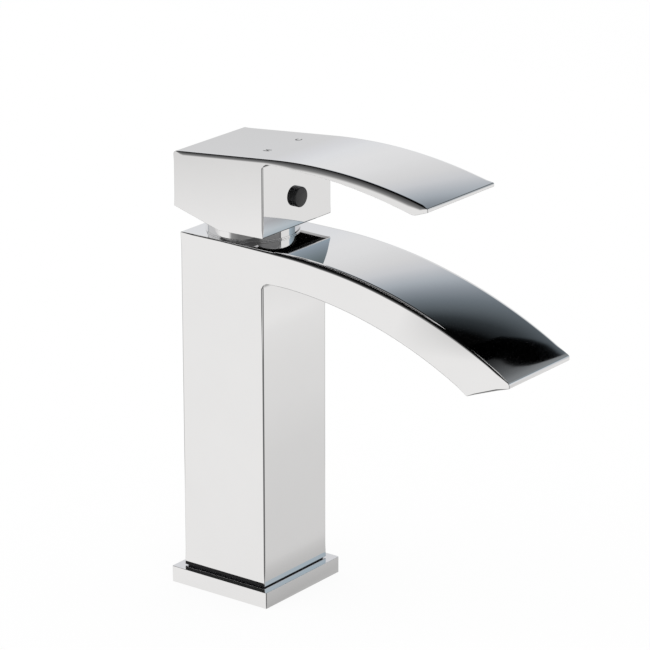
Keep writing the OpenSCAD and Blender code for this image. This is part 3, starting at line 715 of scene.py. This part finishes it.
def block_under(distance):
    """Height of the block's underside: from the axis it rises steeply to the back, slightly to the front."""
    return handle_bottom + np.where(distance < 0, -distance * np.tan(under_slope),
                                    distance * np.tan(under_front_slope))


lever_under = np.array([lever_peak, lever_height(lever_peak) - lever_root - lever_under_r])
lever_tip = np.array([lever_reach, lever_height(lever_reach) - lever_tip_face])
print(f"handle {2 * handle_half:.1f} mm wide, block's top at {axis_top:.1f},",
      f"lever's tip at {lever_tip[1]:.2f}")

# %% Handle outline
side_wall, end_wall = 2.35, 2.6
hollow_half = handle_half - side_wall
hollow_back, hollow_front = block_back - end_wall, block_front - end_wall
back_low = float(block_under(-block_back))
back_middle = (back_low + back_top) / 2
cut_back = -np.array([np.cos(lever_tilt), np.sin(lever_tilt)])
lever_corner, cut_corner, cut_round, inner_round, front_corner, rear_corner = 0.55, 0.35, 4.0, 2.2, 0.6, 0.5
cut_long, lever_under_from = 12, lever_reach - 3  # these overlap too


def under_at(distance):
    """The point of the block's underside at a distance."""
    return distance, float(block_under(distance))


handle_loop = outline(
    eased((-block_back, back_middle), (-block_back, back_top)), back_round,
    follow(eased((-block_back, back_top), (0, axis_top), (lever_bend, bend_top)),
           arc(lever_centre, lever_top_r, 90 + np.degrees(top_slope),
               angle_at(lever_centre, lever_top_r, lever_reach))), lever_corner,
    stretch((lever_reach, lever_height(lever_reach)), lever_tip), cut_corner,
    stretch(lever_tip, lever_tip + cut_long * cut_back), cut_round,
    arc(lever_under, lever_under_r, angle_at(lever_under, lever_under_r, lever_under_from),
        angle_at(lever_under, lever_under_r, block_front), facing=-1), -inner_round,
    eased((block_front, bend_top), (block_front, back_middle), under_at(block_front)), front_corner,
    stretch(under_at(block_front), under_at(hollow_front), under_at(0)), 0.0,
    stretch(under_at(0), under_at(-hollow_back), under_at(-block_back)), rear_corner,
    eased((-block_back, back_low), (-block_back, back_middle)))
print("handle outline:", len(handle_loop[0]), "points")

# %% Handle skin, hollow below
handle = Skin()
flat, out = handle_loop
facing_up, upright = sides_of(handle_loop)
clear = clear_of_corners(handle_loop)
past_block, before_tip = (flat[:, 0] - block_front) / 14, (lever_reach - flat[:, 0]) / 8
on_lever = np.clip(past_block, 0, 1) ** 1.5 * np.clip(before_tip, 0, 1)
top_edge, side_swell = 0.45, 3.0  # both grow: the edge where it stands upright, the swell along the lever
wanted = np.where(out[:, 1] < -0.3, edge, top_edge + 0.15 * upright)
points, normals = across(
    handle_loop, handle_half, edge + clear * (wanted - edge),
    side_roll=side_swell * (1 + on_lever) * facing_up * clear, top_roll=top_swell * facing_up * clear,
    lines=(-hollow_half, hollow_half))
hollow_rows = slice(row_at(handle_loop, np.array(under_at(hollow_front))),
                    row_at(handle_loop, np.array(under_at(-hollow_back))))
keep = np.ones(np.array(points.shape[:2]) - 1, bool)
keep[hollow_rows, points.shape[1] // 2 - 1] = False
facing_down = out[:, 1] < -0.9
in_front = abs(flat[:, 0] - block_front / 2) < block_front / 2
under_block = facing_down & in_front & (flat[:, 1] < handle_bottom + block_h / 2)
# painted shade: these cells of the block's underside in front of the axis get the near-black second finish
# instead of chrome
dull = np.zeros(keep.shape, bool)
dull[under_block[:-1] & under_block[1:], len(across_leans):-len(across_leans)] = True
handle.grid(points, normals, keep & ~dull)
handle.finish = 1
handle.grid(points, normals, keep & dull)
handle.finish = 0
side_face(handle, points, 0, -1)
side_face(handle, points, -1, 1)

# %% Hollow of the handle, with the boss that takes the stem
roof_thick, boss_lift = 4.2, 6.8
roof_z, boss_z = back_top - roof_thick, handle_bottom + boss_lift
boss_r, web_half, socket_half, socket_deep = 7.5, 5.0, 3.7, 8.0


def hollow_place(flat, level):
    """Across and in front of the axis; level 0 lies on the sloping underside and level 1 on the roof."""
    z = block_under(flat[:, 1]) * (1 - level) + roof_z * level
    return np.stack([flat[:, 0], -flat[:, 1], z], axis=1)


def front_place(flat, z):
    """Across and in front of the axis, at a height."""
    return np.stack([flat[:, 0], -flat[:, 1], np.full(len(flat), z)], axis=1)


# painted shade: the hollow's walls, roof and the boss with its socket get the near-black second finish
handle.finish = 1
hollow = rectangle((-hollow_half, -hollow_back), (hollow_half, hollow_front), also=(0.0,))
handle.wall(hollow, hollow_place, (0, 1), inwards=True)
handle.face([hollow[0]], hollow_place, 1, (0, 0, -1))
web_angle, past = np.degrees(np.arccos(web_half / boss_r)), 8  # the round runs past the web's sides
web_end = hollow_front + 1  # inside the block's front wall
boss = outline(
    stretch((-web_half, hollow_front - 1), (-web_half, web_end)), 0.0,
    stretch((-web_half, web_end), (web_half, web_end)), 0.0,
    stretch((web_half, web_end), (web_half, 0)), 0.0,
    arc((0, 0), boss_r, web_angle + past, -180 - web_angle - past), 0.0,
    stretch((-web_half, 0), (-web_half, hollow_front - 1)))
socket = rectangle((-socket_half, -socket_half), (socket_half, socket_half))
handle.wall(boss, front_place, (boss_z, roof_z))
handle.face([boss[0], socket[0]], front_place, boss_z, (0, 0, -1))
handle.wall(socket, front_place, (boss_z, boss_z + socket_deep), inwards=True)
handle.face([socket[0]], front_place, boss_z + socket_deep, (0, 0, -1))
handle.make("handle_skin", [chrome, painted_shade_casting], "lever", "chrome", "handle")

# %% [markdown]
# ## Turned pieces
# The ring between body and handle and the plug in front of the grub screw are turned parts, so each is a
# profile of radius and height carried round its axis. The ring stands on a thin wider foot and its top rim
# is rounded.


# %% Collar and cap
def turned(skin, profile, place, steps=192):
    """Radius r and height h of a profile carried round: place maps r cos a, r sin a and h to space. The
    normal is the difference that the profile's own normal makes when it is mapped the same way."""
    angle = np.linspace(0, 2 * np.pi, steps + 1)[None]
    radius, height = (profile[0][:, k, None] for k in (0, 1))
    out, up = (profile[1][:, k, None] for k in (0, 1))
    points = place(radius * np.cos(angle), radius * np.sin(angle), height + 0 * angle)
    nowhere = 0 * angle
    ahead = place(out * np.cos(angle), out * np.sin(angle), up + nowhere) - place(nowhere, nowhere, nowhere)
    skin.grid(points, unit(ahead + 0 * points))


collar_low, collar_high = (np.array(corner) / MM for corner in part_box("cover_collar"))
foot_r, collar_r, collar_in, collar_hole = collar_high[0], 17.0, 14.9, 11.0
collar_base, collar_top = collar_low[2], collar_high[2]
collar_middle = (collar_base + collar_top) / 2
foot_top, ceiling = collar_base + 0.6, collar_top - 1.0
rim_round, hole_round, small_round, base_round = 0.8, 0.3, 0.15, 0.1
collar_profile = outline(
    stretch((collar_in, collar_middle), (collar_in, ceiling)), 0.0,
    stretch((collar_in, ceiling), (collar_hole, ceiling)), small_round,
    stretch((collar_hole, ceiling), (collar_hole, collar_top)), hole_round,
    stretch((collar_hole, collar_top), (collar_r, collar_top)), rim_round,
    stretch((collar_r, collar_top), (collar_r, foot_top)), 0.0,
    stretch((collar_r, foot_top), (foot_r, foot_top)), small_round,
    stretch((foot_r, foot_top), (foot_r, collar_base)), base_round,
    stretch((foot_r, collar_base), (collar_in, collar_base)), 0.0,
    stretch((collar_in, collar_base), (collar_in, collar_middle)))
collar = Skin()
turned(collar, collar_profile, lambda x, y, h: np.stack([x, y, h], axis=-1))
collar.make("collar_skin", [chrome], "tap_body", "chrome", "cover_collar")

# %% Cap profile and finish
cap_low, cap_high = (np.array(corner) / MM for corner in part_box("screw_cap"))
cap_centre = (cap_low + cap_high) / 2
head_r, head_h = cap_high[0], -block_front - cap_low[1]
shank_r, shank_end = 3.2, cap_high[1] + block_front
dome_r, head_round, shank_round = 24.0, 0.5, 0.3
cap_profile = outline(
    arc((0, head_h - dome_r), dome_r, 90, angle_at((0, 0), dome_r, head_r)), head_round,
    stretch((head_r, head_h), (head_r, 0)), small_round,
    stretch((head_r, 0), (shank_r, 0)), 0.0,
    stretch((shank_r, 0), (shank_r, -shank_end)), shank_round,
    stretch((shank_r, -shank_end), (0, -shank_end)))


def cap_finish():
    """Black moulded plastic: a satin skin with a fine grain, a little greyer where it is handled."""
    material, tree = finish("black_plug")
    own = tree.place()
    grain = tree.noise(own, 2600, detail=2)
    wear = tree.noise(own, 240, detail=3)
    tree.end(tree.make("ShaderNodeBsdfPrincipled", None, {
        "Base Color": tree.mix(wear, *shades("cap_plastic", 0.5, 1.0)),
        "Roughness": 0.28 + wear * 0.14, "Normal": tree.bump(grain, 2e-6)}))
    return material


cap = Skin()
turned(cap, cap_profile, lambda x, z, h: np.stack(
    [cap_centre[0] + x, -block_front - h, cap_centre[2] + z], axis=-1), steps=96)
cap.make("cap_skin", [cap_finish()], "lever", "cap_plastic", "screw_cap")

# %% [markdown]
# ## Marks for hot and cold
# The handle's top carries a small H on one side and a C on the other, so that the user knows which way to
# turn. They are engraved and filled with grey enamel on a real tap. Here each letter is one closed outline,
# laid on the sloping top and raised by a few hundredths of a millimetre, like the enamel's own skin.


# %% Hot and cold marks
up_slope = np.array([0, -np.cos(top_slope), np.sin(top_slope)])
top_normal = np.array([0, np.sin(top_slope), np.cos(top_slope)])


def on_top(centre):
    """Places letter coordinates, across and towards the back, on the handle's sloping top. The centre is
    given across the handle and in front of the axis."""
    across_at, front_at = centre
    start = np.array([0, 0, axis_top])

    def place(flat, level):
        along = front_at / np.cos(top_slope) - flat[:, 1:]
        return start + (across_at + flat[:, :1]) * [1, 0, 0] + along * up_slope + level * top_normal
    return place


def letter_h(height, width, stroke):
    """An H walked clockwise: two posts and a bar."""
    x, y, s = width / 2, height / 2, stroke / 2
    corners = np.array([
        (-x, 0), (-x, y), (-x + 2 * s, y), (-x + 2 * s, s), (x - 2 * s, s), (x - 2 * s, y), (x, y), (x, -y),
        (x - 2 * s, -y), (x - 2 * s, -s), (-x + 2 * s, -s), (-x + 2 * s, -y), (-x, -y), (-x, 0)])
    sides = [stretch(a, b) for a, b in zip(corners, corners[1:])]
    return tuple(np.concatenate(values) for values in zip(*sides))


def letter_c(height, stroke, mouth=42):
    """A C: an outer arc, an end, the inner arc back and the other end."""
    outer, inner = height / 2, height / 2 - stroke
    around = arc((0, 0), outer, 360 - mouth, mouth, step=0.05)
    back = arc((0, 0), inner, mouth, 360 - mouth, facing=-1, step=0.05)
    ends = [stretch(around[0][-1], back[0][0]), stretch(back[0][-1], around[0][0])]
    return tuple(np.concatenate(values) for values in zip(around, ends[0], back, ends[1]))


def mark_finish():
    """Grey enamel, filled a little unevenly."""
    material, tree = finish("grey_enamel")
    fill = tree.noise(tree.place(), 900, detail=2)
    tree.end(tree.make("ShaderNodeBsdfPrincipled", None, {
        "Base Color": tree.mix(fill, (0.05, 0.052, 0.056, 1), (0.1, 0.104, 0.11, 1)),
        "Roughness": 0.35 + fill * 0.2, "Normal": tree.bump(fill, 4e-6)}))
    return material


enamel = mark_finish()
letter_high, h_wide, letter_stroke, letter_root, letter_skin = 2.7, 2.0, 0.5, -0.1, 0.03
hot_place, cold_place = (-8.2, 13.3), (9.9, 13.6)
for name, loop, centre in (("mark_hot", letter_h(letter_high, h_wide, letter_stroke), hot_place),
                           ("mark_cold", letter_c(letter_high, letter_stroke), cold_place)):
    mark, place = Skin(), on_top(centre)
    mark.wall(loop, place, (letter_root, letter_skin))
    mark.face([loop[0]], place, letter_skin, top_normal)
    mark.face([loop[0]], place, letter_root, -top_normal)
    mark.make(name, [enamel], "lever", "outlet_plastic")

# %% [markdown]
# ## Finishes of the pieces inside
# Most of these are seen only when the tap is taken apart or from below. Each still gets what its making
# leaves on it: turned brass has fine rings round its axis, moulded plastic a soft grain and faint flow
# lines, ceramic is lapped until it shines, rubber is dull with a bloom of its own wax, and the pin is drawn
# along its length.


# %% Metal finishes
def brass_finish():
    """Turned brass: rings round the upright axis, where the tool's steps catch the light."""
    material, tree = finish("turned_brass")
    own = tree.place()
    rings = tree.make("ShaderNodeTexWave", {"wave_type": "BANDS", "bands_direction": "Z"}, {
        "Vector": own, "Scale": 900.0, "Distortion": 1.5, "Detail": 2.0})
    tarnish = tree.noise(own, 130, detail=4, roughness=0.6)
    tree.end(tree.make("ShaderNodeBsdfPrincipled", None, {
        "Base Color": tree.mix(tarnish, *shades("brass", 0.82, 1.05)),
        "Metallic": 1.0, "Roughness": 0.24 + tarnish * 0.16 + rings * 0.05,
        "Normal": tree.bump(rings, 6e-6)}))
    return material


def steel_finish():
    """Drawn and ground steel: fine lines that run along x, from noise that is stretched that way."""
    material, tree = finish("ground_steel")
    lines = tree.noise(tree.place(scale=(60, 4000, 4000)), 1.0, detail=3)
    cloud = tree.noise(tree.place(), 200, detail=2)
    tree.end(tree.make("ShaderNodeBsdfPrincipled", None, {
        "Base Color": tree.mix(cloud, *shades("steel", 0.9, 1.04)),
        "Metallic": 1.0, "Roughness": 0.22 + lines * 0.14, "Normal": tree.bump(lines, 3e-6)}))
    return material


# %% Plastic, rubber and ceramic finishes
def moulded(name, slot, grain_scale, rough, relief):
    """Moulded plastic: a matt grain, and flow lines that make it slightly darker and smoother in streaks."""
    material, tree = finish(name)
    grain = tree.noise(tree.place(), grain_scale, detail=3)
    flow = tree.noise(tree.place(scale=(1, 1, 0.25), turn=(0.3, 0.2, 0)), 160, detail=4, roughness=0.55)
    tree.end(tree.make("ShaderNodeBsdfPrincipled", None, {
        "Base Color": tree.mix(flow, *shades(slot, 0.9, 1.05)),
        "Roughness": rough + flow * 0.12, "Normal": tree.bump(grain, relief)}))
    return material


def rubber_finish():
    """Rubber: nearly black and dull, with a greyer bloom in patches and a fine bump."""
    material, tree = finish("black_rubber")
    own = tree.place()
    bloom = tree.noise(own, 300, detail=4, roughness=0.65)
    tree.end(tree.make("ShaderNodeBsdfPrincipled", None, {
        "Base Color": tree.mix(bloom, *shades("rubber", 0.7, 1.9)),
        "Roughness": 0.62 + bloom * 0.2, "Normal": tree.bump(tree.noise(own, 3000, detail=2), 1.2e-5)}))
    return material


def ceramic_finish():
    """Lapped alumina: ivory with fine darker grains, shiny, with a trace of the lapping in its gloss."""
    material, tree = finish("lapped_ceramic")
    own = tree.place()
    grains = tree.make("ShaderNodeTexVoronoi", {"feature": "F1"}, {"Vector": own, "Scale": 2200.0})
    lapping = tree.noise(own, 500, detail=3)
    tree.end(tree.make("ShaderNodeBsdfPrincipled", None, {
        "Base Color": tree.mix(grains, *shades("ceramic", 1.02, 0.93)),
        "Roughness": 0.1 + lapping * 0.1, "Normal": tree.bump(grains, 1e-6)}))
    return material


# %% Dress the pieces that keep their solids
finishes = {
    "brass": brass_finish(), "steel": steel_finish(), "rubber": rubber_finish(), "ceramic": ceramic_finish(),
    "case_plastic": moulded("ivory_case", "case_plastic", 1800, 0.34, 8e-6),
    "guide_plastic": moulded("blue_guide", "guide_plastic", 2000, 0.3, 6e-6),
    "carrier_plastic": moulded("amber_carrier", "carrier_plastic", 2000, 0.32, 6e-6),
    "outlet_plastic": moulded("grey_outlet", "outlet_plastic", 1500, 0.5, 1e-5),
}
slots = {row["node"]: row["material_slot"] for row in frame["record"]["subparts"]}
redrawn = {"body_casting", "base_plate", "handle", "cover_collar", "screw_cap"}
kept = sorted(set(slots) - redrawn)
for node in kept:
    solid = bpy.data.objects[node]
    solid.data.materials.clear()
    solid.data.materials.append(finishes[slots[node]])
print("dressed", len(kept), "solids:", ", ".join(kept))

# %% [markdown]
# ## Floor and studio
# Chrome shows its surroundings, so the studio is what gives the tap its look: a pale floor all round, a tall
# white panel on the cold side that ends above in the dark of the room, and a duller, bluish panel beside it,
# further to the front. Both panels are drawn on one upright sheet, which is seen in the metal only, as are
# the greys of the floor and the windows of the room. A photographer would set them up with cards and lamps;
# here they are ramps, so that each can be placed where the metal mirrors it. The light that falls on the
# object is plain, from all round, with one soft lamp that gives the floor its shadow.


# %% Floor
def quad(name, corners, material):
    """A flat sheet between four corners, given in metres, that isn't part of the object."""
    mesh = bpy.data.meshes.new(name)
    mesh.from_pydata([tuple(corner) for corner in corners], [], [(0, 1, 2, 3)])
    mesh.materials.append(material)
    sheet = bpy.data.objects.new(name, mesh)
    scene.collection.objects.link(sheet)
    return sheet


def heading_of(tree, east, north):
    """A heading as a share of a full turn: the arc tangent of north (+y) and east (+x), divided by two pi,
    plus a half. It is a half towards +x, three quarters towards +y and a quarter towards -y, the front."""
    return tree.math("ARCTAN2", north, east) / (2 * np.pi) + 0.5


def by_heading(tree, heading, *stops):
    """A ramp over such a heading, with stops written in degrees from -180 to 180."""
    return tree.ramp([((degrees + 180) / 360, value) for degrees, value in stops], heading)


# %% Floor as mirrors find it
def painted_floor_shade(tree, own):
    """How white mirrors find the card: the product of one minus each patch of painted grey, which only mirrors
    and glass see. Among the patches is the tap's own shadow in front of it, painted on. A patch is a ramp over
    the heading from the base plate's front left corner, times a ramp over the distance in metres from the
    axis or ahead of it. An upright face of the tap mirrors a strip of one heading, and the higher a point
    stands on the face, the further out it finds the floor: in the photograph's view, three times as far as it
    is high."""
    x, y = tree.axes(own, "XY")
    plate_m = plate_half * MM
    heading = heading_of(tree, x + plate_m, y + plate_m)
    distance = tree.math("SQRT", x * x + y * y, 0.0)
    ahead = -1.0 * y
    turned_to = lambda *stops: by_heading(tree, heading, *stops)
    away = lambda *stops: tree.ramp(stops, distance)
    # painted shadow: the tap's own soft shadow on the floor in front of it, darkest at the plate's front and
    # fading out to 0.36 m ahead, seen only in the metal
    in_front = turned_to((-95, 0), (-60, 0.75), (-42, 1), (-5, 1), (20, 0.35), (60, 0)) * tree.ramp(
        [(0.0225, 0.5), (0.028, 0.45), (0.037, 0.37), (0.044, 0.24), (0.114, 0.215), (0.15, 0.155),
         (0.186, 0.13), (0.21, 0.09), (0.222, 0.03), (0.36, 0.02)], ahead)
    # dark gaps beside the camera, which draw the lines along the upright edges
    gap = turned_to((-112, 0), (-104, 0.9), (-68, 0.9), (-58, 0)) * away((0.52, 1), (0.62, 0.35))
    near_gap = turned_to((-164, 0), (-156, 0.9), (-74, 0.9), (-60, 0)) * away((0.3, 1), (0.36, 0))
    far_gap = away((0.3, 0), (0.36, 1)) * turned_to(
        (-180, 0.87), (-146, 0.87), (-136, 0.3), (-122, 0), (152, 0), (160, 0.75), (180, 0.87))
    dark = tree.math("MAXIMUM", near_gap, tree.math("MAXIMUM", gap, far_gap))
    # greys behind the tap, close beside it, and further out
    behind = turned_to((-22, 0), (-12, 0.65), (60, 0.65), (110, 0.4), (127, 0)) * away(
        (0.115, 0), (0.15, 1), (0.36, 1), (0.5, 0.5), (0.7, 0))
    beside = turned_to((0, 0), (6, 0.65), (80, 0.65), (90, 0)) * away((0.1, 1), (0.15, 0))
    at_left = turned_to((-180, 1), (-145, 1), (-120, 0), (70, 0), (110, 1))
    far = away((0.34, 0.0), (0.42, 0.08), (1.0, 0.08)) * (1.0 - at_left)
    # a ramp ends at 1, so a quarter of the distance takes it out to 4 m
    fading = tree.ramp([(0.12, 0.0), (0.14, 0.1), (0.2, 0.42), (0.3, 0.65), (0.6, 0.82)], distance * 0.25)
    near_tip = turned_to((-125, 0), (-110, 0.4), (-51, 0.38), (-42, 0))
    at_tip = near_tip * tree.ramp([(0.24, 0), (0.3, 1)], ahead)
    tone = 1.0 - in_front
    for grey in (dark, behind, beside, far, at_left * fading, at_tip):
        tone = tone * (1.0 - grey)
    return tone


def floor_finish():
    """White card. Most of what the camera and mirrors see of it is light of its own, so its shadow stays
    faint, and the light that falls on it gives the rest. The camera finds that light white; mirrors find
    painted greys, slightly warm, with a painted shadow of the tap in front of it."""
    material, tree = finish("white_card")
    own = tree.place()
    fibres = tree.noise(own, 60, detail=3)
    card = tree.make("ShaderNodeBsdfPrincipled", None, {
        "Base Color": tree.mix(fibres, (0.94, 0.94, 0.94, 1), (0.96, 0.96, 0.96, 1)), "Roughness": 0.9})
    tone = painted_floor_shade(tree, own)
    painted_shade_for_mirrors = tree.make("ShaderNodeCombineXYZ", None, {0: tone, 1: tone * 0.99, 2: tone * 0.97})
    camera_ray, mirror_ray, glass_ray = (
        tree.make("ShaderNodeLightPath", out=f"Is {kind} Ray")
        for kind in ("Camera", "Glossy", "Transmission"))
    colour = tree.mix(camera_ray, painted_shade_for_mirrors, (1, 1, 1, 1))
    white = tree.make("ShaderNodeEmission", None, {"Color": colour, "Strength": 1.0})
    own_white = 0.92
    seen = (camera_ray + mirror_ray + glass_ray) * own_white
    tree.end(tree.make("ShaderNodeMixShader", None, {0: seen, 1: card, 2: white}))
    return material


reach_m = 6.0
floor_corners = [(x * reach_m, y * reach_m, 0) for x, y in ((-1, -1), (1, -1), (1, 1), (-1, 1))]
quad("floor", floor_corners, floor_finish())
print("floor", 2 * reach_m, "m square")


# %% Screens that the metal mirrors
def screen(name, corners, light):
    """A sheet seen by mirrors only; light gives its colour from the tree and its own y and z in metres."""
    material, tree = finish(name)
    y, z = tree.axes(tree.make("ShaderNodeTexCoord", out="Object"), "YZ")
    tree.end(tree.make("ShaderNodeEmission", None, {"Color": light(tree, y, z), "Strength": 1.0}))
    sheet = quad(name, corners, material)
    for sight in ("camera", "diffuse", "shadow", "transmission", "volume_scatter"):
        setattr(sheet, "visible_" + sight, False)


# The side panel's light over its height, and the front panel's over the distance ahead and over its height.
side_light = [
    (0.0, 0.68), (0.25, 0.72), (0.316, (0.785, 0.79, 0.81)), (0.36, (0.85, 0.86, 0.875)), (0.42, 0.885),
    (0.476, 0.862), (0.53, 0.79), (0.56, (0.7, 0.712, 0.732)), (0.595, (0.46, 0.5, 0.54)),
    (0.615, (0.3, 0.335, 0.37)), (0.635, (0.175, 0.205, 0.23)), (0.65, (0.11, 0.13, 0.145)),
    (0.664, (0.035, 0.042, 0.047)), (0.68, 0.001)]
front_light = [
    (0.085, 0.03), (0.1, 0.06), (0.12, 0.13), (0.145, 0.25), (0.162, 0.38), (0.175, 0.56), (0.3, 0.6),
    (0.42, 0.78), (0.55, 1.0), (0.6, (1.3, 1.19, 1.13)), (0.68, (2.2, 2.0, 1.9))]
front_tint = [
    (0.0, (0.4, 0.43, 0.46)), (0.31, (0.385, 0.43, 0.465)), (0.36, (0.55, 0.65, 0.71)),
    (0.42, (0.42, 0.53, 0.6)), (0.44, (0.39, 0.46, 0.52)), (0.5, (0.22, 0.27, 0.287)),
    (0.555, (0.15, 0.19, 0.204)), (0.59, (0.54, 0.575, 0.592)), (0.75, (0.3, 0.31, 0.32)),
    (0.95, (0.02, 0.02, 0.02))]
# The height of the side panel's top and of the front panel's foot, over the distance ahead.
side_top = [
    (0.0, 0.96), (0.02, 0.96), (0.03, 0.69), (0.046, 0.666), (0.063, 0.66), (0.095, 0.649), (0.128, 0.64),
    (0.16, 0.634), (0.172, 0.631), (0.18, 0.3), (0.2, 0.0)]
front_foot = [
    (0.0, 0.97), (0.08, 0.96), (0.094, 0.684), (0.111, 0.6775), (0.128, 0.6755), (0.145, 0.67),
    (0.155, 0.663), (0.162, 0.657), (0.168, 0.645), (0.172, 0.632), (0.18, 0.3), (0.2, 0.0)]


def wall_light(tree, y, z):
    """Two panels with a black gap between them. The side panel is brightest at 0.42 m and fades out towards
    its top, which falls towards the front. The front panel is bluish, with a light and a dark band across
    it, and brightens to the front; it hangs above the gap, and from 0.2 m ahead of the axis it reaches the
    floor. Where distance ahead plus height pass a sum, it ends in white, which the spout's rounded tip
    mirrors. An edge is the distance past it times a steepness, as the factor of a mix."""
    steep, soft, white_from = 500, 60, 1.045
    ahead = -1.0 * y
    side = tree.ramp(side_light, z - y * 0.1)
    front = tree.make("ShaderNodeMix", {"data_type": "RGBA", "blend_type": "MULTIPLY"}, {
        0: 1.0, 6: tree.ramp(front_light, ahead), 7: tree.ramp(front_tint, z)}, out=2)
    front = tree.mix((ahead + z - white_from) * soft, front, (1.05, 1.04, 1.01, 1))
    below_front = tree.mix((z - tree.ramp(side_top, ahead)) * steep, side, (0, 0, 0, 1))
    return tree.mix((z - tree.ramp(front_foot, ahead)) * steep, below_front, front)


screen_x, screen_top, front_end, back_end = 0.70, 0.95, -1.8, 2.4
screen("panels", [
    (screen_x, front_end, 0), (screen_x, back_end, 0),
    (screen_x, back_end, screen_top), (screen_x, front_end, screen_top)], wall_light)
print("panels at x", screen_x, "m, to", screen_top, "m high")


# %% World and lamp
def room():
    """The world: plain white light on everything, and for mirrors a dim room that darkens from the horizon
    upwards, with two wide windows. The low one lies in front of the tap and goes on, fainter, to the left of
    it, and the high one lies behind. A window is a ramp over the heading times a ramp over the height of the
    look, which is the z of its direction."""
    world = bpy.data.worlds.new("room")
    scene.world = world
    tree = Tree(world, "ShaderNodeOutputWorld")
    east, north, up = tree.axes(tree.make("ShaderNodeTexCoord", out="Generated"), "XYZ")
    heading = heading_of(tree, east, north)
    low = tree.ramp([(0.03, 0), (0.08, 1), (0.27, 1), (0.3, 0.1), (0.5, 0)], up) * by_heading(
        tree, heading, (-180, 0.25), (-129.6, 0.25), (-118.8, 1), (-75.6, 1), (-61.2, 0),
        (151.2, 0), (162, 0.25), (180, 0.25))
    high = tree.ramp([(0.03, 0), (0.08, 1), (0.4, 1), (0.5, 0)], up) * by_heading(
        tree, heading, (48.6, 0), (57.6, 0.9), (126, 0.9), (132.48, 0))
    dim = tree.ramp([(0.0, 0.22), (0.12, 0.13), (0.3, 0.04), (0.55, 0.008), (1.0, 0.002)], up)
    plain = tree.make("ShaderNodeBackground", None, {"Color": (1, 1, 1, 1), "Strength": 1.0})
    lit = tree.mix(low + high, dim, (0.85, 0.85, 0.84, 1))
    mirrored = tree.make("ShaderNodeBackground", None, {"Color": lit, "Strength": 1.0})
    glossy = tree.make("ShaderNodeLightPath", out="Is Glossy Ray")
    tree.end(tree.make("ShaderNodeMixShader", None, {0: glossy, 1: plain, 2: mirrored}))


room()
lamp = bpy.data.lights.new("soft_lamp", "AREA")
lamp.shape, lamp.size, lamp.size_y = "RECTANGLE", 1.2, 1.2
lamp.energy = 4.0
lamp_object = bpy.data.objects.new("soft_lamp", lamp)
scene.collection.objects.link(lamp_object)
lamp_place = np.array([-0.7, 0.9, 1.6])
away = lamp_place / np.linalg.norm(lamp_place)
side_way = unit(np.cross([0, 0, 1], away))
facing = Matrix((side_way, np.cross(away, side_way), away)).transposed().to_4x4()
lamp_object.matrix_world = Matrix.Translation(lamp_place.tolist()) @ facing
lamp_object.visible_glossy = False
print("lamp", lamp.energy, "W at", lamp_place.tolist())
